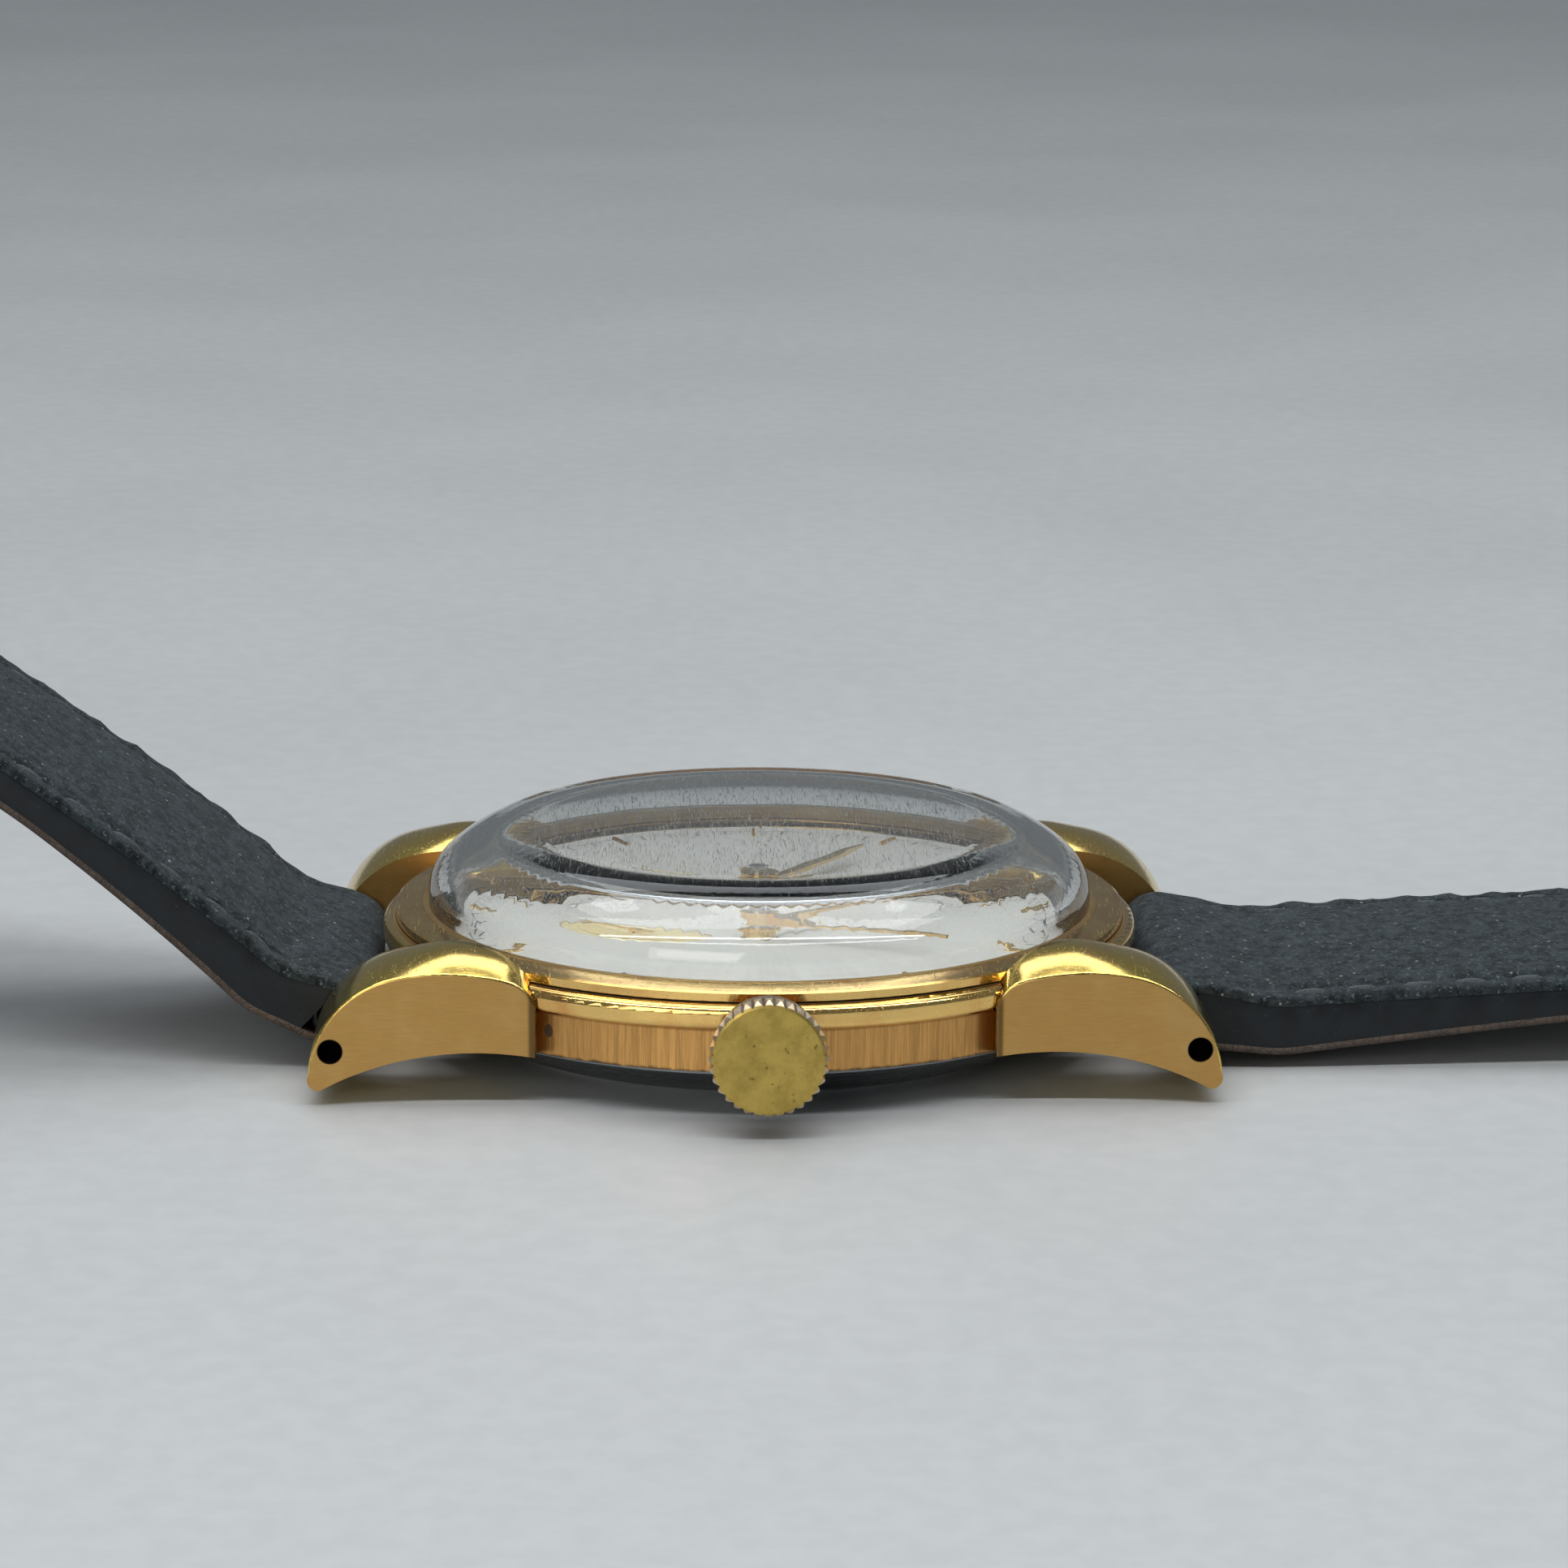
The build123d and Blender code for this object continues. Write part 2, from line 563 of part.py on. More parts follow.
def make_bridge_screws():
    screws = []
    seats = ((BARREL_FEET, BARREL_BRIDGE_Z[0]), (TRAIN_FEET, TRAIN_BRIDGE_Z[0]), (COCK_FEET, COCK_Z[0]))
    for feet, face in seats:
        for foot in feet:
            head = rod(0.68, face - 0.02, face + 0.25, foot) - Pos(foot[0], foot[1], face) * Box(2, 0.16, 0.2)
            screws.append(head + rod(0.34, face + 0.25, 4.1, foot))
    return Compound(children=screws)


def make_movement_ring():
    """The spacer that centres the round movement in the case."""
    ring = turned_points([
        (12.95, 2.9), (14.35, 2.9), (14.35, 4.9), (13.45, 4.9), (13.45, 4.58), (12.95, 4.58),
    ])
    return ring - rod_x(0.9, 12, 15, 0, STEM_Z)


def make_barrel_drum():
    phase = meshing_phase(CENTRE_PINION[0], 0, BARREL_GEAR[0], heading(CENTRE, BARREL))
    drum = gear(BARREL_GEAR, 2.70, 3.08, BARREL, phase) + rod(4.80, 2.42, 3.15, BARREL)
    drum -= rod(4.60, 2.0, 3.00, BARREL)
    return drum - rod(0.85, 2, 4, BARREL)


def make_barrel_cover():
    return washer(4.80, 0.85, 2.22, 2.41, BARREL)


def make_barrel_arbor():
    body = rod(0.55, WINDING_WHEELS_Z[0], 1.30, BARREL) + rod(0.80, 1.30, 3.60, BARREL)
    return body + rod(1.15, 2.50, 2.92, BARREL)


def spiral_band(at, inner, outer, turns, width, z_low, z_high, start=0):
    """A flat spiral spring of this strip width."""
    steps = int(turns * 24)
    sides = [[], []]
    for i in range(steps + 1):
        angle = radians(start) + 2 * pi * turns * i / steps
        radius = inner + (outer - inner) * i / steps
        for side, shift in zip(sides, (-width / 2, width / 2)):
            side.append((at[0] + (radius + shift) * cos(angle), at[1] + (radius + shift) * sin(angle)))
    ends = [Line(sides[0][i], sides[1][i]) for i in (0, -1)]
    edges = [Spline(*sides[0]), Spline(*sides[1]), *ends]
    return slab(make_face(Curve(children=edges)), z_low, z_high)


def make_mainspring():
    return spiral_band(BARREL, 1.35, 4.45, 6, 0.12, 2.50, 2.92)


def make_centre_wheel():
    low, high = 1.98, 2.13
    wheel = gear(CENTRE_GEAR, low, high, CENTRE, 0) - spokes_cut(CENTRE, low, high, 1.0, 2.95, 5)
    wheel += rod(0.50, low, 2.66, CENTRE) + gear(CENTRE_PINION, 2.65, 3.15, CENTRE, 0)
    return wheel + rod(0.30, 3.10, 6.80, CENTRE) + rod(0.25, 1.50, low, CENTRE)


def make_cannon_pinion():
    phase = 0
    body = gear(CANNON_GEAR, 4.06, 4.34, CENTRE, phase) + rod(0.50, 4.06, 6.86, CENTRE)
    return body - rod(0.30, 4, 6.80, CENTRE)


def minute_wheel_phase():
    return meshing_phase(CANNON_GEAR[0], 0, MINUTE_GEAR[0], heading(CENTRE, MINUTE_WHEEL))


def make_minute_wheel():
    wheel = gear(MINUTE_GEAR, 4.08, 4.24, MINUTE_WHEEL, minute_wheel_phase())
    wheel += gear(MINUTE_PINION, 4.23, 4.62, MINUTE_WHEEL, 0)
    return wheel - rod(0.25 + RUNNING, 4, 5, MINUTE_WHEEL)


def make_hour_wheel():
    phase = meshing_phase(MINUTE_PINION[0], 0, HOUR_GEAR[0], heading(MINUTE_WHEEL, CENTRE))
    wheel = gear(HOUR_GEAR, 4.42, 4.58, CENTRE, phase) + rod(0.80, 4.42, HOUR_HAND_Z[1] + 0.05, CENTRE)
    return wheel - rod(0.50 + RUNNING, 4, 7, CENTRE)


def make_third_wheel():
    pinion_phase = meshing_phase(CENTRE_GEAR[0], 0, THIRD_PINION[0], heading(CENTRE, THIRD))
    wheel = gear(THIRD_GEAR, 2.30, 2.45, THIRD, 0) - spokes_cut(THIRD, 2.30, 2.45, 0.6, 2.55, 4)
    return wheel + gear(THIRD_PINION, 1.93, 2.31, THIRD, pinion_phase) + arbor(THIRD, 1.87, 3.27, 0.20)


def make_fourth_wheel():
    pinion_phase = meshing_phase(THIRD_GEAR[0], 0, FOURTH_PINION[0], heading(THIRD, SECONDS))
    wheel = gear(FOURTH_GEAR, 2.65, 2.80, SECONDS, 0) - spokes_cut(SECONDS, 2.65, 2.80, 0.6, 2.50, 4)
    wheel += gear(FOURTH_PINION, 2.22, 2.66, SECONDS, pinion_phase)
    return wheel + arbor(SECONDS, 1.87, 3.27, 0.20) + rod(PIVOT_R, 3.27, SECONDS_HAND_Z[1], SECONDS)


def make_escape_wheel():
    """Fifteen club teeth on a thin rim."""
    pinion_phase = meshing_phase(FOURTH_GEAR[0], 0, ESCAPE_PINION[0], heading(SECONDS, ESCAPE))
    corners = []
    for i in range(ESCAPE_TEETH):
        start = heading(ESCAPE, PALLET) + (i + 0.5) * 360 / ESCAPE_TEETH
        for radius, shift in (
            (1.75, -2.5), (ESCAPE_R - 0.12, 3.0), (ESCAPE_R, 6.5), (ESCAPE_R - 0.28, 6.0), (1.75, 5.0),
        ):
            angle = radians(start + shift)
            corners.append((ESCAPE[0] + radius * cos(angle), ESCAPE[1] + radius * sin(angle)))
    wheel = slab(Polygon(*corners, align=None), 3.00, 3.12) - spokes_cut(ESCAPE, 3.00, 3.12, 0.45, 1.45, 4)
    return wheel + gear(ESCAPE_PINION, 2.58, 2.86, ESCAPE, pinion_phase) + arbor(ESCAPE, 1.87, 3.27, 0.18)


def make_pallet_fork():
    """The lever: two jewelled arms at the escape wheel and a notch at the balance roller."""
    low, high = 2.98, 3.14
    towards = heading(PALLET, ESCAPE)
    notch = away(PALLET, 2.28, towards + 180)
    body = slab(hull([(*PALLET, 0.42), (*notch, 0.30)]), low, high)
    for side in (-1, 1):
        stone = away(PALLET, 1.42, towards + side * 62)
        body += slab(hull([(*PALLET, 0.30), (*stone, 0.16)]), low, high)
    slot_end = away(PALLET, 2.9, towards + 180)
    body -= slab(hull([(*notch, 0.14), (*slot_end, 0.14)]), 2, 4)
    return body + rod(0.15, 2.97, 3.27, PALLET) + rod(PIVOT_R, 2.80, 3.60, PALLET)


def make_balance_wheel():
    """Rim with timing screws, two arms, staff, roller and impulse pin."""
    low, high = 2.50, 2.80
    wheel = washer(BALANCE_R - 0.35, BALANCE_R - 0.75, low, high, BALANCE)
    arm = Pos(*BALANCE, 0) * Rotation(0, 0, 35) * box((-3.5, 3.5), (-0.22, 0.22), (2.55, 2.70))
    wheel += arm + rod(0.45, 2.30, 2.78, BALANCE)
    for i in range(12):
        angle = radians(i * 30 + 15)
        screw = Rotation(0, 0, degrees(angle)) * rod_x(0.13, BALANCE_R - 0.45, BALANCE_R, 0, 0)
        screw = Pos(*BALANCE, 2.65) * screw
        wheel += screw
    pin = away(BALANCE, 0.55, heading(BALANCE, PALLET))
    wheel += rod(0.85, 2.77, 2.82, BALANCE) + rod(0.11, 2.80, 3.20, pin)
    return wheel + arbor(BALANCE, 1.87, 3.27, 0.18)


def make_hairspring():
    return spiral_band(BALANCE, 0.62, 2.20, 9, 0.04, 2.05, 2.20)


# ---------------------------------------------------------------- dial and hands

def make_dial():
    dial = rod(DIAL_R, *DIAL_Z) - rod(0.95, 4, 6) - rod(0.22, 4, 6, SECONDS)
    dial -= rod(SECONDS_DIAL_R, DIAL_Z[1] - 0.06, 6, SECONDS)
    dial += rod(SECONDS_DIAL_R - 1.0, DIAL_Z[1] - 0.2, DIAL_Z[1] - 0.03, SECONDS) - rod(0.22, 4, 6, SECONDS)
    for foot in DIAL_FEET:
        dial += rod(0.38, 4.1, DIAL_Z[0] + 0.05, foot)
    return dial


def make_hour_markers():
    """Fine faceted batons, double at 12."""
    half = MARKER_WIDTH / 2
    face = Polygon((-half, 0), (half, 0), (half / 2, MARKER_HEIGHT), (-half / 2, MARKER_HEIGHT), align=None)
    batons = []
    for hour in range(12):
        shifts = (-1.2 * MARKER_WIDTH, 1.2 * MARKER_WIDTH) if hour == 0 else (0,)
        for shift in shifts:
            baton = extrude(Plane.XZ.offset(-MARKER_END_R) * face, MARKER_LENGTH)
            baton = Pos(shift, 0, DIAL_Z[1]) * baton
            batons.append(Rotation(0, 0, -hour * 30) * baton)
    return Compound(children=batons)


def leaf_hand(length, width, tail, hub, hole, z_low, z_high, clock, at=CENTRE):
    """A pointed leaf with a round hub, pointing at this clock angle."""
    widest = length * 0.42
    blade = make_face(Curve(children=[
        Line((-0.16, tail), (-0.16, hub * 0.8)),
        Spline((-0.16, hub * 0.8), (-width / 2, widest), (-0.05, length)),
        Line((-0.05, length), (0.05, length)),
        Spline((0.05, length), (width / 2, widest), (0.16, hub * 0.8)),
        Line((0.16, hub * 0.8), (0.16, tail)),
        Line((0.16, tail), (-0.16, tail)),
    ]))
    body = slab(blade, z_low, z_high) + rod(hub, z_low, z_high) - rod(hole, z_low - 1, z_high + 1)
    return Pos(at[0], at[1], 0) * Rotation(0, 0, -clock) * body


def make_seconds_hand():
    low, high = SECONDS_HAND_Z
    blade = slab(Polygon((-0.09, -1.1), (0.09, -1.1), (0.035, 3.2), (-0.035, 3.2), align=None), low, high)
    body = blade + rod(0.34, low - 0.1, high + 0.02) - rod(PIVOT_R, low - 1, high + 1)
    return Pos(*SECONDS, 0) * Rotation(0, 0, -SECONDS_CLOCK) * body


# ---------------------------------------------------------------- spring bars

def make_bar_tube():
    tube = rod_x(BAR_TUBE_R, -BAR_TUBE_HALF, BAR_TUBE_HALF, BAR_Y, BAR_Z)
    return tube - rod_x(BAR_TUBE_BORE, -20, 20, BAR_Y, BAR_Z)


def make_plunger():
    """The sprung end of a bar: a tail in the tube, a collar, and the tip in the lug."""
    shaft = rod_x(PLUNGER_R, PLUNGER_TAIL_X, PLUNGER_END_X, BAR_Y, BAR_Z)
    return shaft + rod_x(BAR_TUBE_R, *PLUNGER_COLLAR_X, BAR_Y, BAR_Z)


def make_bar_spring():
    """The coil inside the tube, as a closed sleeve of its outline when pressed together."""
    half = PLUNGER_TAIL_X - PLUNGER_TRAVEL - RUNNING
    inner, outer = BAR_COIL_R
    return rod_x(outer, -half, half, BAR_Y, BAR_Z) - rod_x(inner, -half - 1, half + 1, BAR_Y, BAR_Z)


# ---------------------------------------------------------------- strap

def walk(start, runs, distance):
    """The point and heading this far along a line of arcs and straight runs."""
    across, height, angle = start
    for length, turn in runs:
        step = min(distance, length)
        bend = turn * step / length
        chord = step if abs(bend) < 1e-9 else step * sin(radians(bend / 2)) / radians(bend / 2)
        across += chord * cos(radians(angle + bend / 2))
        height += chord * sin(radians(angle + bend / 2))
        angle += bend
        distance -= step
        if distance <= 1e-9:
            break
    return across, height, angle


def total(runs):
    return sum(length for length, turn in runs)


def thickness(distance):
    share = min(distance / THICK_RUN, 1)
    return STRAP_THICK + (STRAP_THIN - STRAP_THICK) * share


def half_width(distance, length):
    share = min(max((distance - 6) / (length - 16), 0), 1)
    return (STRAP_WIDTH + (BUCKLE_WIDTH - STRAP_WIDTH) * share) / 2


def strap_layer(start, runs, upper, lower, begin, end):
    """One layer of a strap half; upper and lower give its offsets from the middle line."""
    rows = [[], []]
    for i in range(STRAP_STEPS + 1):
        distance = begin + (end - begin) * i / STRAP_STEPS
        across, height, angle = walk(start, runs, distance)
        for row, offset in zip(rows, (upper(distance), lower(distance))):
            row.append((across - offset * sin(radians(angle)), height + offset * cos(radians(angle))))
    side = make_face(Curve(children=[
        Spline(*rows[0]), Line(rows[0][-1], rows[1][-1]), Spline(*rows[1]), Line(rows[0][0], rows[1][0]),
    ]))
    return extrude(Plane.YZ.offset(-STRAP_WIDTH / 2) * side, STRAP_WIDTH)


def strap_plan(start, runs, pointed):
    """The strap half seen from above: tapered, with a pointed tip on the long half."""
    length = total(runs)
    corners = []
    for share in (0, 0.2, 0.4, 0.6, 0.8, 1):
        distance = (length - STRAP_TIP_LENGTH * pointed) * share
        corners.append((half_width(distance, length), walk(start, runs, distance)[0]))
    root = (corners[0][0], corners[0][1] - 4)
    left_side = [(-x, y) for x, y in [root] + corners]
    if pointed:
        end = (0, walk(start, runs, length)[0] + 0.5)
        near = (corners[-1][0] * 0.80, corners[-1][1] + 3.6)
        tip = Spline(corners[-1], near, end, (-near[0], near[1]), (-corners[-1][0], corners[-1][1]))
    else:
        across, along = corners[-1]
        past = along + 3
        tip = Polyline((across, along), (across, past), (-across, past), (-across, along))
    outline = Curve(children=[Polyline(root, *corners), tip, Polyline(*left_side), Line(root, left_side[0])])
    return extrude(Pos(0, 0, -5) * make_face(outline), 45)


def strap_pieces(start, runs, pointed):
    """The top leather, the padding and the lining of one strap half, towards +Y."""
    length = total(runs)
    plan = strap_plan(start, runs, pointed)
    top = strap_layer(
        start, runs, lambda d: thickness(d) / 2, lambda d: thickness(d) / 2 - TOP_LAYER, 0, length
    ) & plan
    lining = strap_layer(
        start, runs, lambda d: -thickness(d) / 2 + LINING_LAYER, lambda d: -thickness(d) / 2, 0, length
    ) & plan
    padding = strap_layer(
        start,
        runs,
        lambda d: thickness(d) / 2 - TOP_LAYER - LAYER_GAP,
        lambda d: -thickness(d) / 2 + LINING_LAYER + LAYER_GAP,
        1.2,
        length - 9,
    ) & plan
    loop = rod_x(LOOP_R, -STRAP_WIDTH / 2, STRAP_WIDTH / 2, BAR_Y, BAR_Z)
    opening = rod_x(BAR_TUBE_R + 0.09, -20, 20, BAR_Y, BAR_Z)
    top = (top + loop) - opening
    lining = lining - loop
    padding = padding - loop
    return top, padding, lining


def strap_hole_tools():
    """Round punches across the long half, square to its surface."""
    punches = []
    for i in range(STRAP_HOLES):
        along = total(LONG_RUNS) - STRAP_FIRST_HOLE - i * STRAP_HOLE_PITCH
        across, height, angle = walk(LONG_START, LONG_RUNS, along)
        punches.append(Pos(0, across, height) * Rotation(angle, 0, 0) * Cylinder(STRAP_HOLE_R, 8))
    return punches


def keeper(along, width):
    """A leather band round the strap, with room above it for the other half."""
    across, height, angle = walk(SHORT_START, SHORT_RUNS, along)
    half = half_width(along, total(SHORT_RUNS)) + KEEPER_SIDE_ROOM
    low = -STRAP_THIN / 2 - 0.06
    high = STRAP_THIN / 2 + STRAP_THIN + 0.35
    wall = KEEPER_WALL
    outer = box((-half - wall, half + wall), (-width / 2, width / 2), (low - wall, high + wall))
    outer = fillet(outer.edges().filter_by(Axis.Y), 0.7)
    band = outer - box((-half, half), (-width, width), (low, high))
    return Pos(0, across, height) * Rotation(angle, 0, 0) * band


# ---------------------------------------------------------------- buckle

def buckle_place():
    """The buckle bar's position and the slope at which the frame lies on the table."""
    across, height, angle = walk(SHORT_START, SHORT_RUNS, total(SHORT_RUNS))
    bar = (across + 1.0, height)
    slope = degrees(atan2(BUCKLE_WIRE / 2 - bar[1], BUCKLE_LENGTH))
    return bar, slope


def placed_buckle(solid):
    bar, slope = buckle_place()
    return Pos(0, bar[0], bar[1]) * Rotation(slope, 0, 0) * solid


def make_buckle_frame():
    """A U of rounded wire whose two ends carry the bar."""
    wire = BUCKLE_WIRE
    outer_x, inner_x = BUCKLE_HALF_WIDTH, BUCKLE_HALF_WIDTH - 1.5
    reach = BUCKLE_LENGTH + wire / 2
    frame = box((-outer_x, outer_x), (-1.0, reach), (-wire / 2, wire / 2))
    frame = fillet(frame.edges().filter_by(Axis.Z).sort_by(Axis.Y)[-2:], 3.0)
    opening = box((-inner_x, inner_x), (-2.0, BUCKLE_LENGTH - wire / 2), (-3, 3))
    opening = fillet(opening.edges().filter_by(Axis.Z).sort_by(Axis.Y)[-2:], 1.6)
    frame = frame - opening
    frame = fillet(frame.edges().filter_by(lambda e: abs(abs(e.center().Z) - wire / 2) < 1e-3), 0.55)
    frame -= rod_x(BUCKLE_BAR_R, -inner_x - 0.9, inner_x + 0.9, 0, 0)
    return placed_buckle(frame)


def make_buckle_bar():
    end = BUCKLE_HALF_WIDTH - 1.5 + 0.85
    return placed_buckle(rod_x(BUCKLE_BAR_R - 0.04, -end, end, 0, 0))


def make_tongue():
    """The pin of the buckle, looped round the bar and resting on the frame's front."""
    wire = BUCKLE_WIRE
    eye = rod_x(1.30, -0.95, 0.95, 0, 0)
    side = make_face(Polyline(
        (0, 0.45), (1.0, 1.45), (BUCKLE_LENGTH - 3, wire / 2 + 0.80), (BUCKLE_LENGTH + 1.0, wire / 2 + 0.65),
        (BUCKLE_LENGTH + 1.0, wire / 2 + 0.04), (BUCKLE_LENGTH - 2, wire / 2 + 0.04), (1.0, 0.3), close=True,
    ))
    arm = extrude(Plane.YZ.offset(-0.80) * side, 1.60)
    return placed_buckle(eye + arm - rod_x(BUCKLE_BAR_R, -5, 5, 0, 0))


def buckle_wrap():
    """The end of the short half, wrapped round the buckle bar and split for the tongue."""
    bar, slope = buckle_place()
    radius = STRAP_THIN / 2
    half = BUCKLE_WIDTH / 2
    wrap = rod_x(radius + 0.25, -half, half, *bar)
    hole = rod_x(BUCKLE_BAR_R + 0.05, -20, 20, *bar)
    split = box((-1.25, 1.25), (bar[0] - 2.2, bar[0] + 3), (bar[1] - 3, bar[1] + 3))
    return wrap, hole, split


# ---------------------------------------------------------------- everything, node by node

def mirrored_y(solid):
    return mirror(solid, Plane.XZ)


def mirrored_x(solid):
    return mirror(solid, Plane.YZ)


def make_parts():
    parts = {
        "case_middle": make_case_middle(),
        "bezel": make_bezel(),
        "crystal": make_crystal(),
        "case_back": make_case_back(),
        "pendant_tube": make_pendant_tube(),
        "crown": make_crown(),
        "winding_stem": make_stem(),
        "winding_pinion": make_winding_pinion(),
        "sliding_pinion": make_sliding_pinion(),
        "crown_wheel": make_crown_wheel(),
        "ratchet_wheel": make_ratchet_wheel(),
        "click": make_click(),
        "mainplate": make_mainplate(),
        "barrel_bridge": make_barrel_bridge(),
        "train_bridge": make_train_bridge(),
        "balance_cock": make_balance_cock(),
        "pallet_cock": make_pallet_cock(),
        "jewels": make_jewels(),
        "bridge_screws": make_bridge_screws(),
        "movement_ring": make_movement_ring(),
        "barrel_drum": make_barrel_drum(),
        "barrel_cover": make_barrel_cover(),
        "barrel_arbor": make_barrel_arbor(),
        "mainspring": make_mainspring(),
        "centre_wheel": make_centre_wheel(),
        "cannon_pinion": make_cannon_pinion(),
        "minute_wheel": make_minute_wheel(),
        "hour_wheel": make_hour_wheel(),
        "third_wheel": make_third_wheel(),
        "fourth_wheel": make_fourth_wheel(),
        "escape_wheel": make_escape_wheel(),
        "pallet_fork": make_pallet_fork(),
        "balance_wheel": make_balance_wheel(),
        "hairspring": make_hairspring(),
        "dial": make_dial(),
        "hour_markers": make_hour_markers(),
        "hour_hand": leaf_hand(9.5, 0.62, -1.2, 1.05, 0.80, *HOUR_HAND_Z, HOUR_CLOCK),
        "minute_hand": leaf_hand(12.5, 0.52, -1.2, 0.90, 0.50, *MINUTE_HAND_Z, MINUTE_CLOCK),
        "seconds_hand": make_seconds_hand(),
    }
    lug = make_lug()
    parts["lug_2_oclock"] = lug
    parts["lug_4_oclock"] = mirrored_y(lug)
    parts["lug_8_oclock"] = mirrored_x(mirrored_y(lug))
    parts["lug_10_oclock"] = mirrored_x(lug)

    bar = Compound(children=[make_bar_tube(), make_bar_spring()])
    plunger = make_plunger()
    parts["spring_bar_short_side"] = bar
    parts["spring_bar_long_side"] = mirrored_y(bar)
    parts["plunger_2_oclock"] = plunger
    parts["plunger_4_oclock"] = mirrored_y(plunger)
    parts["plunger_8_oclock"] = mirrored_x(mirrored_y(plunger))
    parts["plunger_10_oclock"] = mirrored_x(plunger)

    long_layers = strap_pieces(LONG_START, LONG_RUNS, 1)
    for punch in strap_hole_tools():
        long_layers = [layer - punch for layer in long_layers]
    wrap, hole, split = buckle_wrap()
    short_top, short_padding, short_lining = strap_pieces(SHORT_START, SHORT_RUNS, 0)
    short_layers = [(short_top - wrap) + wrap - hole - split]
    short_layers += [layer - wrap - split for layer in (short_padding, short_lining)]
    for name, long_layer, short_layer in zip(("top", "padding", "lining"), long_layers, short_layers):
        parts["strap_long_" + name] = mirrored_y(long_layer)
        parts["strap_short_" + name] = short_layer

    parts["fixed_keeper"] = keeper(FIXED_KEEPER_AT, KEEPER_WIDTH)
    parts["free_keeper"] = keeper(FREE_KEEPER_AT, KEEPER_WIDTH)
    parts["buckle_frame"] = make_buckle_frame()
    parts["buckle_bar"] = make_buckle_bar()
    parts["buckle_tongue"] = make_tongue()
    return parts


os.makedirs("parts", exist_ok=True)
for node, solid in make_parts().items():
    export_step(solid, "parts/" + node + ".step")
bar_place, bar_slope = buckle_place()
print("buckle bar at", bar_place, "frame slope", bar_slope)
print("strap tip", walk(LONG_START, LONG_RUNS, total(LONG_RUNS)))
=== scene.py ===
from math import acos, atan2, cos, exp, pi, radians, sin, sqrt

import bmesh
import bpy
from mathutils import Matrix, Vector, noise


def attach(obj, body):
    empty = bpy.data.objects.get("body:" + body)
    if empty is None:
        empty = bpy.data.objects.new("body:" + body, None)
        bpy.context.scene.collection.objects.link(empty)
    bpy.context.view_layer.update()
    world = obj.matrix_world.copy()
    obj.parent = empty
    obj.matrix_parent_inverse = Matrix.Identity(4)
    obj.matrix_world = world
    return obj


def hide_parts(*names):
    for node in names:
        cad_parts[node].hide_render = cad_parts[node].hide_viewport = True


# The wristwatch's looks. Lengths are millimetres here, turned into metres when a mesh is made.
MM = 0.001

# ---- the same strap, spring bar and buckle dimensions as the part ----
BAR_Y = 19.92
BAR_Z = 2.63
BAR_TUBE_R = 0.75
STRAP_WIDTH = 17.9
BUCKLE_WIDTH = 16.0
STRAP_THICK = 3.05
STRAP_THIN = 2.05
THICK_RUN = 17.0
LOOP_R = 1.60
LOOP_MEETS = 3.8            # distance along the strap where the turn round the bar blends into it
LONG_START = (20.60, 1.47, 44.5)
LONG_RUNS = [(20.0, -9.5), (78.0, -80.0), (10.0, -4.0)]
SHORT_START = (20.60, 1.68, 5.5)
SHORT_RUNS = [(17.2, -1.0), (16.0, -7.5), (34.6, 0.0)]
HOLES = 7
HOLE_R = 0.90
HOLE_PITCH = 6.5
FIRST_HOLE = 22.0
TIP_LENGTH = 11.0
BUCKLE_LOOP_R = 1.275
TONGUE_SLOT = 1.25
KEEPER_WIDTH = 4.5
KEEPER_WALL = 0.80
KEEPER_SIDE_ROOM = 0.25
FREE_KEEPER_AT = 46.0
FIXED_KEEPER_AT = 63.5

# ---- leather ----
SKIN = 0.48                 # thickness of the napped top leather at its edge
LINING = 0.38
SKIN_END = 250              # angle round the spring bar where lining takes over from top leather
STITCH_PITCH = 2.6
STITCH_INSET = 1.25         # from the strap's edge
CROWN_PADDED = 0.50         # how far the middle stands above the edges, beside the lugs
CROWN_FLAT = 0.12
STATION_STEP = 0.30         # spacing of the cross-sections along the strap

# ---- camera ----
CAMERA_AT = (0.25782, -0.00581, 0.07044)
CAMERA_YAW = -1.5505        # degrees away from straight along -X
CAMERA_PITCH = 12.819       # degrees below level
CAMERA_ROLL = 0.2686
CAMERA_LENS = 126.5


# ---------------------------------------------------------------- node materials

